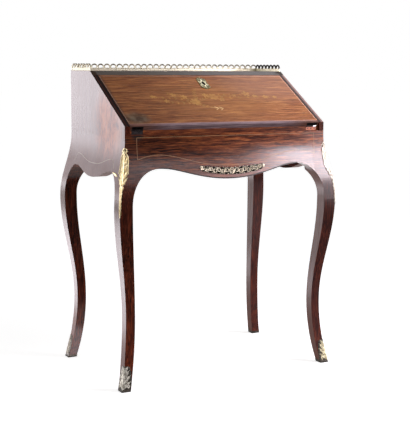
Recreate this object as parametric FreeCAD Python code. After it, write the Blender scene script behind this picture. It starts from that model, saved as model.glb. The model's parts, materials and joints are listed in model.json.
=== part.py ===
import FreeCAD, Part
import math
import os

V = FreeCAD.Vector

# Slant-front writing desk on four cabriole legs, in millimetres.
# +Z is up, the front faces -Y, and the origin lies on the floor under the middle of the desk.

# Case: widths and depths are taken over the outer planes, above the swell of the legs
case_width = 680.0
case_depth = 413.0
slope_foot_height = 770.0
slope_rise = 155.0
top_depth = 157.0

# Boards
side_thickness = 16.0
apron_thickness = 22.0
back_thickness = 12.0
top_thickness = 12.5
bottom_thickness = 10.0
bottom_drop = 82.0

# Legs: an offset is measured outward from the case's plane, a drop down from the top of the post
post_size = 41.0
foot_splay = 21.5
foot_size = 27.5
ankle_height = 210.0
ankle_offset = -2.5
ankle_size = 29.0
knee_drop = 214.0
knee_offset = 29.5
knee_size = 40.7
swell_drop = 9.0
spring_rise = 10.0

# Aprons: arches either side of a central lobe
front_arch_span = 91.0
front_arch_drop = 97.0
front_lobe_drop = 134.0
side_arch_span = 61.5
side_arch_drop = 107.0
side_lobe_drop = 134.0

# Curve shapes: lengths of the control handles, as shares of the stretch that they bend
swell_handle = 0.364
ellipse_handle = 0.5523
peak_handle = 0.30
lobe_handle = 0.48

# Fall
fall_thickness = 14.0
fall_side_gap = 1.5
fall_gap = 0.3
ledge_gap = 0.5
leather_thickness = 1.0
leather_recess = 1.2
leather_margin = 45.0
leather_top_margin = 80.0

# Fall hinges
hinge_length = 36.0
hinge_middle_knuckle = 12.0
hinge_inset = 26.0
hinge_knuckle_radius = 2.5
hinge_pin_radius = 1.2
hinge_pin_clearance = 0.05
hinge_leaf_thickness = 1.2
hinge_leaf_width = 12.0
hinge_screw_spacing = 12.0

# Wood screws
screw_head_radius = 2.4
screw_head_height = 1.2
screw_shank_radius = 1.2
hinge_screw_length = 9.0
lock_screw_tip_cover = 1.5

# Lock in the fall
lock_offset = 15.0
lock_width = 54.0
lock_length = 68.0
lock_depth = 10.0
lock_screw_inset = 5.0
bolt_width = 18.0
bolt_length = 26.0
bolt_thickness = 5.0
bolt_travel = 7.0
bolt_clearance = 0.3
bolt_cover = 1.2
keyhole_drop = 48.0
keyhole_radius = 2.6
keyhole_slot_width = 2.4
keyhole_slot_length = 8.0
keeper_thickness = 1.2
keeper_width = 40.0
keeper_margin = 2.0

# Escutcheon
escutcheon_width = 32.0
escutcheon_length = 72.0
escutcheon_thickness = 2.0
escutcheon_pin_radius = 0.8
escutcheon_pin_head_radius = 1.6
escutcheon_pin_head_height = 1.0
escutcheon_pin_length = 5.0
escutcheon_pin_inset = 6.0

# Rail under the top that the fall closes against
stop_rail_depth = 30.0
stop_rail_height = 20.0
nose_cover = 0.5

# Well under the writing bed
well_width = 300.0
well_front_margin = 69.0
well_runner_width = 10.0
well_runner_thickness = 4.3
well_lid_thickness = 9.5
well_lid_clearance = 0.2
well_lid_side_gap = 0.3
well_lid_back_margin = 5.0
finger_groove_width = 40.0
finger_groove_radius = 6.0
finger_groove_margin = 15.0

# Drawers and pigeonholes under the top
compartment_gap = 2.0
compartment_base_thickness = 6.0
compartment_shelf_thickness = 6.0
drawer_row_height = 52.0
drawer_count = 3
drawer_partition_thickness = 6.0
drawer_gap = 0.5
drawer_back_gap = 2.0
drawer_front_thickness = 10.0
drawer_board_thickness = 6.0
drawer_bottom_thickness = 4.0
drawer_top_gap = 6.0
knob_stem_radius = 2.5
knob_stem_length = 7.0
knob_ball_radius = 6.0
knob_sink = 1.5
divider_count = 4
divider_thickness = 5.0
divider_setback = 6.0

# Gallery round the top
gallery_thickness = 3.0
gallery_inset = 2.0
gallery_base_height = 8.0
gallery_height = 22.5
gallery_pitch = 21.5
gallery_wire = 2.2

# Bronze mounts
sabot_thickness = 1.8
sabot_height = 76.0
sabot_side_height = 24.0
sabot_shoulder = 9.0
sabot_band_height = 8.0
corner_mount_thickness = 2.2
corner_mount_top_drop = 34.0
corner_mount_leaf_drop = 104.0
corner_mount_waist_drop = 154.0
corner_mount_foot_drop = 230.0
corner_mount_tip_width = 6.0
corner_mount_leaf_width = 18.0
corner_mount_stem_width = 5.0
apron_mount_thickness = 2.5
apron_mount_length = 224.0
apron_mount_offset = 6.5
apron_mount_rise = 12.0
apron_mount_top_rise = 34.5
apron_mount_end_rise = 27.0
apron_mount_end_top_rise = 42.0
apron_mount_hole_count = 7
apron_mount_hole_radius = 5.0
apron_mount_hole_pitch = 24.0

# Planes that follow from the sizes above
half_width = case_width / 2
half_depth = case_depth / 2
top_height = slope_foot_height + slope_rise
slope_run = case_depth - top_depth
slope_angle = math.atan2(slope_rise, slope_run)
slope_length = math.hypot(slope_run, slope_rise)
hinge_y = -half_depth + fall_thickness * math.sin(slope_angle)
hinge_z = slope_foot_height - fall_thickness * math.cos(slope_angle)
bed_front = hinge_y + fall_gap
bed_top = hinge_z
post_top = bed_top - fall_thickness - ledge_gap
inner_x = half_width - side_thickness
post_x = half_width - post_size
post_y = half_depth - post_size
apron_back = -half_depth + apron_thickness
back_front = half_depth - back_thickness
top_underside = top_height - top_thickness
top_front = half_depth - top_depth
top_underside_front = top_front - top_thickness / math.tan(slope_angle)
fall_length = slope_length - top_thickness / math.sin(slope_angle) - fall_gap
fall_half_width = inner_x - fall_side_gap
knee_height = post_top - knee_drop
swell_height = post_top - swell_drop
spring_height = knee_height + spring_rise
stop_rail_back = top_underside_front + stop_rail_depth
compartment_front = stop_rail_back + compartment_gap
base_top = bed_top + compartment_base_thickness
shelf_underside = base_top + drawer_row_height
shelf_top = shelf_underside + compartment_shelf_thickness
well_front = bed_front + well_front_margin
well_floor = post_top - bottom_drop
runner_top = post_top + well_runner_thickness
lock_x = (lock_offset - lock_width / 2, lock_offset + lock_width / 2)
lock_y = (fall_length - lock_length, fall_length)
lock_floor = -fall_thickness + lock_depth
bolt_depth = (bolt_travel + bolt_clearance) * math.tan(slope_angle) + bolt_clearance + bolt_cover
bolt_z = (-bolt_depth - bolt_thickness, -bolt_depth)
keyhole_y = fall_length - keyhole_drop
slope_placement = FreeCAD.Placement(
    V(0, -half_depth, slope_foot_height),
    FreeCAD.Rotation(V(1, 0, 0), math.degrees(slope_angle)),
)


# Shape helpers
def box(x, y, z):
    """Block between a pair of limits along each axis."""
    return Part.makeBox(x[1] - x[0], y[1] - y[0], z[1] - z[0], V(x[0], y[0], z[0]))


def line(start, end):
    return Part.LineSegment(start, end).toShape()


def chain(points):
    """Straight edges from point to point."""
    return [line(a, b) for a, b in zip(points, points[1:])]


def bezier(*poles):
    curve = Part.BezierCurve()
    curve.setPoles(list(poles))
    return curve.toShape()


def face(edges):
    return Part.Face(Part.Wire(Part.__sortEdges__(edges)))


def prism(points, along):
    """Straight-sided outline pushed along a vector."""
    return Part.Face(Part.makePolygon(points + points[:1])).extrude(along)


def across(outline, half):
    """Outline of (y, z) points made into a board from -half to +half in x."""
    return prism([V(-half, y, z) for y, z in outline], V(2 * half, 0, 0))


def mirror_x(shape):
    return shape.mirror(V(0, 0, 0), V(1, 0, 0))


def mirror_y(shape):
    return shape.mirror(V(0, 0, 0), V(0, 1, 0))


def on_slope(shape):
    """Carry a shape drawn flat, with +Y up the slope and +Z outward, to the slanted front."""
    placed = shape.copy()
    placed.Placement = slope_placement.multiply(placed.Placement)
    return placed


def slope_point(along, depth):
    """(y, z) of a point that lies so far up the slope and so deep under its outer face."""
    point = slope_placement.multVec(V(0, along, -depth))
    return (point.y, point.z)


def screw(head, direction, length):
    """Countersunk wood screw whose head is flush with the point given."""
    cone = Part.makeCone(screw_head_radius, screw_shank_radius, screw_head_height, head, direction)
    neck = head + direction * screw_head_height
    shank = Part.makeCylinder(screw_shank_radius, length - screw_head_height, neck, direction)
    return cone.fuse(shank)


# Curves of the legs and aprons, drawn at the front left corner
def in_width(offset, z):
    return V(-half_width - offset, 0, z)


def in_depth(offset, z):
    return V(0, -half_depth - offset, z)


def swell(place, low, z_low, high, z_high):
    """Smooth S from one offset to another, upright at both ends."""
    handle = swell_handle * (z_high - z_low)
    return bezier(
        place(low, z_low),
        place(low, z_low + handle),
        place(high, z_high - handle),
        place(high, z_high),
    )


def leg_line(place, foot, ankle, knee):
    """One face of a leg from its splayed foot over the ankle to the knee."""
    lower = bezier(place(foot, 0), place(ankle, ankle_height / 2), place(ankle, ankle_height))
    return [lower, swell(place, ankle, ankle_height, knee, knee_height)]


def leg_face(place, grow):
    """Outline of a leg and its post in one plane, thickened all round by grow."""
    knee_inside = knee_offset - knee_size - grow
    post_inside = -post_size - grow
    outer = leg_line(place, foot_splay + grow, ankle_offset + grow, knee_offset + grow)
    inner = leg_line(
        place,
        foot_splay - foot_size - grow,
        ankle_offset - ankle_size - grow,
        knee_inside,
    )
    upper = swell(place, knee_offset + grow, knee_height, grow, swell_height)
    post = chain([
        place(grow, swell_height),
        place(grow, post_top),
        place(post_inside, post_top),
        place(post_inside, spring_height),
        place(knee_inside, spring_height),
        place(knee_inside, knee_height),
    ])
    sole = line(place(foot_splay - foot_size - grow, 0), place(foot_splay + grow, 0))
    return face(outer + [upper] + post + inner + [sole])


def leg_blank(grow=0.0):
    """Front left leg before the arches are cut: square in section all the way up."""
    in_front = leg_face(in_width, grow).extrude(V(0, -case_depth, 0))
    in_side = leg_face(in_depth, grow).extrude(V(-case_width, 0, 0))
    return in_front.common(in_side)


def space_under(place, knee, span, peak_height, lobe_height):
    """Face of the space under an apron, from knee to knee."""
    peak = knee - span
    rise = peak_height - spring_height
    edges = [line(place(-knee, spring_height), place(knee, spring_height))]
    for hand in (-1, 1):
        edges.append(bezier(
            place(hand * knee, spring_height),
            place(hand * knee, spring_height + ellipse_handle * rise),
            place(hand * (peak + ellipse_handle * span), peak_height),
            place(hand * peak, peak_height),
        ))
        edges.append(bezier(
            place(hand * peak, peak_height),
            place(hand * peak * (1 - peak_handle), peak_height),
            place(hand * peak * lobe_handle, lobe_height),
            place(0, lobe_height),
        ))
    return face(edges)


def front_space():
    knee = half_width + knee_offset - knee_size
    outline = space_under(
        lambda x, z: V(x, -case_depth, z),
        knee,
        front_arch_span,
        post_top - front_arch_drop,
        post_top - front_lobe_drop,
    )
    return outline.extrude(V(0, 2 * case_depth, 0))


def side_space():
    knee = half_depth + knee_offset - knee_size
    outline = space_under(
        lambda y, z: V(-case_width, y, z),
        knee,
        side_arch_span,
        post_top - side_arch_drop,
        post_top - side_lobe_drop,
    )
    return outline.extrude(V(2 * case_width, 0, 0))


def panel_face(place, thickness, height, grow=0.0):
    """Upright section through a side or an apron, swelling out with the legs at its foot."""
    upper = swell(place, knee_offset + grow, knee_height, grow, swell_height)
    back = chain([
        place(grow, swell_height),
        place(grow, height),
        place(-thickness, height),
        place(-thickness, knee_height),
        place(knee_offset + grow, knee_height),
    ])
    return face([upper] + back)


def leg_offset(z):
    """How far the outer corner of a leg stands beyond the case at a height."""
    if z > swell_height:
        return 0.0
    if z > knee_height:
        share = (swell_height - z) / (swell_height - knee_height)
        return knee_offset * (1 - math.cos(math.pi * share)) / 2
    if z < ankle_height:
        return ankle_offset + (foot_splay - ankle_offset) * (1 - z / ankle_height) ** 2
    share = (z - ankle_height) / (knee_height - ankle_height)
    return ankle_offset + (knee_offset - ankle_offset) * (1 - math.cos(math.pi * share)) / 2


# Legs and their bronzes
def front_left_leg():
    return leg_blank().cut(front_space()).cut(side_space())


def front_left_sabot():
    """Bronze shoe: a band round the foot that climbs the outer corner."""
    slab = box((-case_width, 0), (-case_depth, 0), (0, sabot_height))
    shell = leg_blank(sabot_thickness).cut(leg_blank()).common(slab)
    tip = in_width(leg_offset(sabot_height), sabot_height) + in_depth(leg_offset(sabot_height), 0)
    drop_per_mm = (sabot_height - sabot_side_height) / (foot_size - sabot_shoulder)
    reach = 2 * foot_size
    slant = [
        tip + V(x, y, drop_per_mm * (sabot_shoulder - x - y))
        for x, y in ((-reach, -reach), (reach, -reach), (reach, reach), (-reach, reach))
    ]
    climb = shell.cut(prism(slant, V(0, 0, 2 * reach * drop_per_mm)))
    band = shell.common(box((-case_width, 0), (-case_depth, 0), (0, sabot_band_height)))
    return band.fuse(climb).removeSplitter()


def corner_mount_outline(place):
    """Leaf on one face of a knee, narrowing to a stem along the corner."""
    stations = (
        (corner_mount_top_drop, corner_mount_tip_width),
        ((corner_mount_top_drop + corner_mount_leaf_drop) / 2, corner_mount_leaf_width),
        (corner_mount_leaf_drop, corner_mount_leaf_width),
        (corner_mount_waist_drop, corner_mount_stem_width),
        (corner_mount_foot_drop, corner_mount_stem_width),
    )
    heights = [post_top - drop for drop, width in stations]
    inside = [place(leg_offset(z) - width, z) for z, (drop, width) in zip(heights, stations)]
    edge = Part.BSplineCurve()
    edge.interpolate(inside)
    beyond = 2 * knee_offset
    outside = [inside[-1], place(beyond, heights[-1]), place(beyond, heights[0]), inside[0]]
    return face([edge.toShape()] + chain(outside))


def front_left_corner_mount():
    shell = leg_blank(corner_mount_thickness).cut(leg_blank())
    in_front = corner_mount_outline(in_width).extrude(V(0, -case_depth, 0))
    in_side = corner_mount_outline(in_depth).extrude(V(-case_width, 0, 0))
    return shell.common(in_front).common(in_side)


# Case
def left_side():
    """Side panel between the posts below, full depth above, with the slope as its front edge."""
    body = panel_face(in_width, side_thickness, top_height).extrude(V(0, case_depth, 0))
    body.translate(V(0, -half_depth, 0))
    outline = prism([
        V(-case_width, -post_y, knee_height),
        V(-case_width, -post_y, post_top),
        V(-case_width, -half_depth, post_top),
        V(-case_width, -half_depth, slope_foot_height),
        V(-case_width, top_front, top_height),
        V(-case_width, half_depth, top_height),
        V(-case_width, half_depth, post_top),
        V(-case_width, post_y, post_top),
        V(-case_width, post_y, knee_height),
    ], V(case_width, 0, 0))
    below = box((-case_width, 0), (-case_depth, case_depth), (0, spring_height))
    return body.common(outline).cut(side_space()).cut(below)


def front_apron():
    """Frieze board between the front posts, with a shaped lower edge."""
    body = panel_face(in_depth, apron_thickness, post_top).extrude(V(2 * post_x, 0, 0))
    body.translate(V(-post_x, 0, 0))
    below = box((-case_width, case_width), (-case_depth, 0), (0, spring_height))
    return body.cut(front_space()).cut(below)


def apron_mount_hole(index):
    """One of the round piercings along the middle of the apron mount."""
    away = (index - (apron_mount_hole_count - 1) / 2) * apron_mount_hole_pitch
    share = (2 * away / apron_mount_length) ** 2
    middle = (apron_mount_rise + apron_mount_top_rise) / 2
    end_middle = (apron_mount_end_rise + apron_mount_end_top_rise) / 2
    rise = middle + share * (end_middle - middle)
    radius = apron_mount_hole_radius * (1 - share)
    centre = V(apron_mount_offset + away, -case_depth, post_top - front_lobe_drop + rise)
    return Part.makeCylinder(radius, case_depth, centre, V(0, 1, 0))


def apron_mount():
    """Pierced bronze band that follows the lobe of the apron."""
    grown = panel_face(in_depth, apron_thickness, post_top, apron_mount_thickness)
    left = apron_mount_offset - apron_mount_length / 2
    right = apron_mount_offset + apron_mount_length / 2
    plate = grown.extrude(V(apron_mount_length, 0, 0))
    plate.translate(V(left, 0, 0))
    lobe = post_top - front_lobe_drop
    left_low = V(left, -case_depth, lobe + apron_mount_end_rise)
    right_low = V(right, -case_depth, lobe + apron_mount_end_rise)
    left_high = V(left, -case_depth, lobe + apron_mount_end_top_rise)
    right_high = V(right, -case_depth, lobe + apron_mount_end_top_rise)
    low = V(apron_mount_offset, -case_depth, lobe + 2 * apron_mount_rise - apron_mount_end_rise)
    high = V(apron_mount_offset, -case_depth, lobe + 2 * apron_mount_top_rise - apron_mount_end_top_rise)
    outline = [bezier(left_low, low, right_low)] + chain([right_low, right_high])
    outline += [bezier(right_high, high, left_high)] + chain([left_high, left_low])
    band = face(outline).extrude(V(0, case_depth, 0))
    apron = panel_face(in_depth, apron_thickness, post_top).extrude(V(case_width, 0, 0))
    apron.translate(V(-half_width, 0, 0))
    mount = plate.common(band).cut(apron)
    for index in range(apron_mount_hole_count):
        mount = mount.cut(apron_mount_hole(index))
    return mount


def back_panel():
    lower = box((-post_x, post_x), (back_front, half_depth), (post_top - front_arch_drop, post_top))
    upper = box((-inner_x, inner_x), (back_front, half_depth), (post_top, top_underside))
    return lower.fuse(upper).removeSplitter()


def bottom_board():
    """Floor of the well, notched round the posts."""
    z = (well_floor - bottom_thickness, well_floor)
    board = box((-inner_x, inner_x), (apron_back, back_front), z)
    for x in ((-half_width, -post_x), (post_x, half_width)):
        for y in ((-half_depth, -post_y), (post_y, half_depth)):
            board = board.cut(box(x, y, z))
    return board


def bed_front_rail(hinge_cuts):
    rail = box((-inner_x, inner_x), (bed_front, well_front), (post_top, bed_top))
    for cut in hinge_cuts:
        rail = rail.cut(cut)
    return rail


def bed_left_board():
    return box((-inner_x, -well_width / 2), (well_front, back_front), (post_top, bed_top))


def well_runners():
    """Ledges along both sides of the well that carry its sliding lid."""
    outer = well_width / 2
    runner = box((-outer, well_runner_width - outer), (well_front, back_front), (post_top, runner_top))
    return Part.makeCompound([runner, mirror_x(runner)])


def well_lid():
    half = well_width / 2 - well_lid_side_gap
    front = well_front + well_lid_side_gap
    bottom = runner_top + well_lid_clearance
    top = bottom + well_lid_thickness
    back = compartment_front - well_lid_back_margin
    lid = box((-half, half), (front, back), (bottom, top))
    start = V(-finger_groove_width / 2, front + finger_groove_margin, top)
    return lid.cut(Part.makeCylinder(finger_groove_radius, finger_groove_width, start, V(1, 0, 0)))


def top_board():
    """Top between the sides, its front edge bevelled to the slope."""
    outline = [
        (top_front, top_height),
        (top_underside_front, top_underside),
        (half_depth, top_underside),
        (half_depth, top_height),
    ]
    return across(outline, inner_x)


def bolt_block(clearance, start, end):
    """Space of the lock bolt between two places up the slope, drawn flat."""
    half = bolt_width / 2 + clearance
    return box(
        (lock_offset - half, lock_offset + half),
        (start, end),
        (bolt_z[0] - clearance, bolt_z[1] + clearance),
    )


def keeper_block():
    """Brass strike let into the nose of the stop rail, drawn flat."""
    nose = fall_length + fall_gap
    return box(
        (lock_offset - keeper_width / 2, lock_offset + keeper_width / 2),
        (nose, nose + keeper_thickness),
        (bolt_z[0] - keeper_margin, bolt_z[1] + keeper_margin),
    )


def bolt_mortise():
    start = fall_length - bolt_clearance
    return on_slope(bolt_block(bolt_clearance, start, start + bolt_travel + 2 * bolt_clearance))


def lock_keeper():
    return on_slope(keeper_block()).cut(bolt_mortise())


def fall_stop_rail():
    """Rail under the top, rebated for the upper edge of the closed fall."""
    nose = fall_length + fall_gap
    inside = fall_thickness + fall_gap
    foot = top_underside - stop_rail_height
    nose_y, nose_z = slope_point(nose, nose_cover)
    heel_y, heel_z = slope_point(nose, inside)
    run = (heel_z - foot) / math.tan(slope_angle)
    outline = [
        (nose_y, nose_z),
        (heel_y, heel_z),
        (heel_y - run, foot),
        (stop_rail_back, foot),
        (stop_rail_back, top_underside),
        (nose_y + (top_underside - nose_z) / math.tan(slope_angle), top_underside),
    ]
    rail = across(outline, inner_x)
    return rail.cut(on_slope(keeper_block())).cut(bolt_mortise())


# Compartments under the top
def compartment_base():
    return box((-inner_x, inner_x), (compartment_front, back_front), (bed_top, base_top))


def compartment_shelf():
    return box((-inner_x, inner_x), (compartment_front, back_front), (shelf_underside, shelf_top))


def drawer_opening():
    partitions = (drawer_count - 1) * drawer_partition_thickness
    return (2 * inner_x - partitions) / drawer_count


def drawer_start(index):
    """Left limit of a drawer's opening."""
    return -inner_x + index * (drawer_opening() + drawer_partition_thickness)


def drawer_partition(index):
    end = drawer_start(index + 1)
    x = (end - drawer_partition_thickness, end)
    return box(x, (compartment_front, back_front), (base_top, shelf_underside))


def pigeonhole_divider(index):
    opening = (2 * inner_x - divider_count * divider_thickness) / (divider_count + 1)
    start = -inner_x + (index + 1) * opening + index * divider_thickness
    y = (compartment_front + divider_setback, back_front)
    return box((start, start + divider_thickness), y, (shelf_top, top_underside))


def drawer_front(index):
    start = drawer_start(index)
    x = (start + drawer_gap, start + drawer_opening() - drawer_gap)
    y = (compartment_front, compartment_front + drawer_front_thickness)
    return box(x, y, (base_top + drawer_gap, shelf_underside - drawer_gap))


def drawer_box(index):
    """Sides, back and bottom of a drawer, butted behind its front."""
    start = drawer_start(index)
    left = start + drawer_gap
    right = start + drawer_opening() - drawer_gap
    front = compartment_front + drawer_front_thickness
    back = back_front - drawer_back_gap
    low = base_top + drawer_gap
    floor = low + drawer_bottom_thickness
    high = shelf_underside - drawer_top_gap
    boards = [
        box((left, left + drawer_board_thickness), (front, back), (low, high)),
        box((right - drawer_board_thickness, right), (front, back), (low, high)),
    ]
    inside = (left + drawer_board_thickness, right - drawer_board_thickness)
    boards.append(box(inside, (back - drawer_board_thickness, back), (low, high)))
    boards.append(box(inside, (front, back - drawer_board_thickness), (low, floor)))
    return Part.makeCompound(boards)


def drawer_knob(index):
    """Turned brass knob on the middle of a drawer front."""
    x = drawer_start(index) + drawer_opening() / 2
    z = (base_top + shelf_underside) / 2
    stem = Part.makeCylinder(knob_stem_radius, knob_stem_length, V(x, compartment_front, z), V(0, -1, 0))
    centre = V(x, compartment_front - knob_stem_length - knob_ball_radius + knob_sink, z)
    return stem.fuse(Part.makeSphere(knob_ball_radius, centre)).removeSplitter()


# Fall, drawn flat and then carried to the slope
def keyhole(depth):
    """Round hole with a slot below it, cut down from above the fall's face."""
    top = escutcheon_thickness
    start = V(lock_offset, keyhole_y, top - depth)
    hole = Part.makeCylinder(keyhole_radius, depth, start)
    half = keyhole_slot_width / 2
    slot = box(
        (lock_offset - half, lock_offset + half),
        (keyhole_y - keyhole_slot_length, keyhole_y),
        (top - depth, top),
    )
    return hole.fuse(slot)


def lock_block():
    return box(lock_x, lock_y, (-fall_thickness, lock_floor))


def lock_screws():
    length = fall_thickness - lock_screw_tip_cover
    heads = [
        V(x, y, -fall_thickness)
        for x in (lock_x[0] + lock_screw_inset, lock_x[1] - lock_screw_inset)
        for y in (lock_y[0] + lock_screw_inset, lock_y[1] - lock_screw_inset)
    ]
    return [screw(head, V(0, 0, 1), length) for head in heads]


def lock_case():
    channel = bolt_block(bolt_clearance, fall_length - bolt_length - bolt_travel, fall_length)
    case = lock_block().cut(channel).cut(keyhole(escutcheon_thickness + fall_thickness - bolt_thickness))
    for fastener in lock_screws():
        case = case.cut(fastener)
    return case


def lock_bolt():
    end = fall_length - bolt_clearance
    return bolt_block(0.0, end - bolt_length, end)


def leather_block(thickness, top):
    half = fall_half_width - leather_margin
    return box((-half, half), (leather_margin, fall_length - leather_top_margin), (top - thickness, top))


def writing_leather():
    surface = -fall_thickness + leather_recess
    return leather_block(leather_thickness, surface)


def escutcheon_pins():
    """Two headed nails, at the upper and lower end of the escutcheon."""
    pins = []
    reach = escutcheon_length / 2 - escutcheon_pin_inset
    for hand in (-1, 1):
        foot = V(lock_offset, keyhole_y + hand * reach, escutcheon_thickness - escutcheon_pin_length)
        shank = Part.makeCylinder(escutcheon_pin_radius, escutcheon_pin_length, foot)
        seat = foot + V(0, 0, escutcheon_pin_length)
        head = Part.makeCone(
            escutcheon_pin_head_radius, escutcheon_pin_radius, escutcheon_pin_head_height, seat)
        pins.append(shank.fuse(head))
    return pins


def escutcheon():
    centre = V(lock_offset, keyhole_y, 0)
    ring = Part.Ellipse(
        centre + V(0, escutcheon_length / 2, 0),
        centre + V(escutcheon_width / 2, 0, 0),
        centre,
    )
    plate = face([ring.toShape()]).extrude(V(0, 0, escutcheon_thickness))
    plate = plate.cut(keyhole(2 * escutcheon_thickness))
    for pin in escutcheon_pins():
        plate = plate.cut(pin)
    return plate


def fall_panel(hinge_cuts):
    panel = box((-fall_half_width, fall_half_width), (0, fall_length), (-fall_thickness, 0))
    cuts = [lock_block(), leather_block(leather_recess, -fall_thickness + leather_recess)]
    cuts += [keyhole(escutcheon_thickness + fall_thickness)]
    cuts += lock_screws() + escutcheon_pins() + hinge_cuts
    for cut in cuts:
        panel = panel.cut(cut)
    return panel


# Fall hinges: the case leaf is drawn in place, the fall leaf is drawn flat
def knuckle_spans(centre):
    """x limits of the two outer knuckles and of the middle one."""
    half = hinge_length / 2
    middle = hinge_middle_knuckle / 2
    gap = fall_gap / 2
    outer = [(centre - half, centre - middle - gap), (centre + middle + gap, centre + half)]
    inner = (centre - middle + gap, centre + middle - gap)
    return outer, inner


def barrel(x, radius, y, z):
    return Part.makeCylinder(radius, x[1] - x[0], V(x[0], y, z), V(1, 0, 0))


def hinge_leaf(plate, own, others, y, z):
    """Leaf with its own knuckles, cleared round those of the other leaf and bored for the pin."""
    clear = hinge_knuckle_radius + fall_gap
    for x in others:
        plate = plate.cut(barrel((x[0] - fall_gap, x[1] + fall_gap), clear, y, z))
    for x in own:
        plate = plate.fuse(barrel(x, hinge_knuckle_radius, y, z))
        plate = plate.cut(barrel(x, hinge_pin_radius + hinge_pin_clearance, y, z))
    return plate


def hinge_screw_places(centre):
    return [centre + step * hinge_screw_spacing for step in (-1, 0, 1)]


def case_leaf_screws(centre):
    z = hinge_z - (hinge_knuckle_radius + hinge_leaf_width) / 2
    return [
        screw(V(x, bed_front, z), V(0, 1, 0), hinge_screw_length)
        for x in hinge_screw_places(centre)
    ]


def fall_leaf_screws(centre):
    z = -fall_thickness + (hinge_knuckle_radius + hinge_leaf_width) / 2
    return [
        screw(V(x, 0, z), V(0, 1, 0), hinge_screw_length)
        for x in hinge_screw_places(centre)
    ]


def case_leaf_plate(centre):
    x = (centre - hinge_length / 2, centre + hinge_length / 2)
    y = (bed_front, bed_front + hinge_leaf_thickness)
    return box(x, y, (hinge_z - hinge_leaf_width, hinge_z))


def fall_leaf_plate(centre):
    x = (centre - hinge_length / 2, centre + hinge_length / 2)
    return box(x, (0, hinge_leaf_thickness), (-fall_thickness, hinge_leaf_width - fall_thickness))


def case_leaf(centre):
    outer, inner = knuckle_spans(centre)
    leaf = hinge_leaf(case_leaf_plate(centre), outer, [inner], hinge_y, hinge_z)
    for fastener in case_leaf_screws(centre):
        leaf = leaf.cut(fastener)
    return leaf


def fall_leaf(centre):
    outer, inner = knuckle_spans(centre)
    leaf = hinge_leaf(fall_leaf_plate(centre), [inner], outer, 0, -fall_thickness)
    for fastener in fall_leaf_screws(centre):
        leaf = leaf.cut(fastener)
    return leaf


def hinge_pin(centre):
    x = (centre - hinge_length / 2, centre + hinge_length / 2)
    return barrel(x, hinge_pin_radius, hinge_y, hinge_z)


def knuckle_clearance(centre, y, z):
    half = hinge_length / 2 + fall_gap
    return barrel((centre - half, centre + half), hinge_knuckle_radius + fall_gap, y, z)


def rail_hinge_cuts(centre):
    clearance = knuckle_clearance(centre, hinge_y, hinge_z)
    return [case_leaf_plate(centre), clearance] + case_leaf_screws(centre)


def fall_hinge_cuts(centre):
    clearance = knuckle_clearance(centre, 0, -fall_thickness)
    return [fall_leaf_plate(centre), clearance] + fall_leaf_screws(centre)


# Gallery: a strip pierced by a row of arches, drawn along +X from its left end
def gallery_strip(length):
    count = round(length / gallery_pitch)
    pitch = length / count
    radius = pitch / 2
    spring = gallery_height - radius
    edges = chain([V(0, 0, spring), V(0, 0, 0), V(length, 0, 0), V(length, 0, spring)])
    for index in range(count):
        start = index * pitch
        crown = V(start + radius, 0, gallery_height)
        edges.append(Part.Arc(V(start, 0, spring), crown, V(start + pitch, 0, spring)).toShape())
    strip = face(edges).extrude(V(0, gallery_thickness, 0))
    for index in range(count):
        left = index * pitch + gallery_wire
        right = (index + 1) * pitch - gallery_wire
        crown = V(left + (right - left) / 2, 0, spring + (right - left) / 2)
        arch = chain([
            V(left, 0, spring),
            V(left, 0, gallery_base_height),
            V(right, 0, gallery_base_height),
            V(right, 0, spring),
        ])
        arch.append(Part.Arc(V(left, 0, spring), crown, V(right, 0, spring)).toShape())
        strip = strip.cut(face(arch).extrude(V(0, gallery_thickness, 0)))
    return strip


def gallery_back():
    strip = gallery_strip(case_width - 2 * gallery_inset)
    strip.translate(V(gallery_inset - half_width, half_depth - gallery_inset - gallery_thickness, top_height))
    return strip


def gallery_left():
    front = top_front + gallery_inset
    back = half_depth - gallery_inset - gallery_thickness
    strip = gallery_strip(back - front)
    strip.rotate(V(0, 0, 0), V(0, 0, 1), 90)
    strip.translate(V(gallery_inset + gallery_thickness - half_width, front, top_height))
    return strip


# All the pieces by name
def leg_pieces():
    pieces = {}
    for name, shape in (("leg", front_left_leg()), ("sabot", front_left_sabot())):
        pieces["front_left_" + name] = shape
        pieces["front_right_" + name] = mirror_x(shape)
        pieces["back_left_" + name] = mirror_y(shape)
        pieces["back_right_" + name] = mirror_y(mirror_x(shape))
    mount = front_left_corner_mount()
    pieces["front_left_corner_mount"] = mount
    pieces["front_right_corner_mount"] = mirror_x(mount)
    return pieces


def case_pieces(hinge_centres):
    rail_cuts = [cut for centre in hinge_centres.values() for cut in rail_hinge_cuts(centre)]
    side = left_side()
    board = bed_left_board()
    gallery = gallery_left()
    return {
        "left_side": side,
        "right_side": mirror_x(side),
        "front_apron": front_apron(),
        "apron_mount": apron_mount(),
        "back_panel": back_panel(),
        "bottom_board": bottom_board(),
        "bed_front_rail": bed_front_rail(rail_cuts),
        "bed_left_board": board,
        "bed_right_board": mirror_x(board),
        "well_runners": well_runners(),
        "well_lid": well_lid(),
        "top_board": top_board(),
        "fall_stop_rail": fall_stop_rail(),
        "lock_keeper": lock_keeper(),
        "gallery_left": gallery,
        "gallery_back": gallery_back(),
        "gallery_right": mirror_x(gallery),
    }


def compartment_pieces():
    pieces = {"compartment_base": compartment_base(), "compartment_shelf": compartment_shelf()}
    for index in range(drawer_count - 1):
        pieces[f"drawer_partition_{index + 1}"] = drawer_partition(index)
    for index in range(divider_count):
        pieces[f"pigeonhole_divider_{index + 1}"] = pigeonhole_divider(index)
    for index in range(drawer_count):
        pieces[f"drawer_{index + 1}_front"] = drawer_front(index)
        pieces[f"drawer_{index + 1}_box"] = drawer_box(index)
        pieces[f"drawer_{index + 1}_knob"] = drawer_knob(index)
    return pieces


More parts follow.
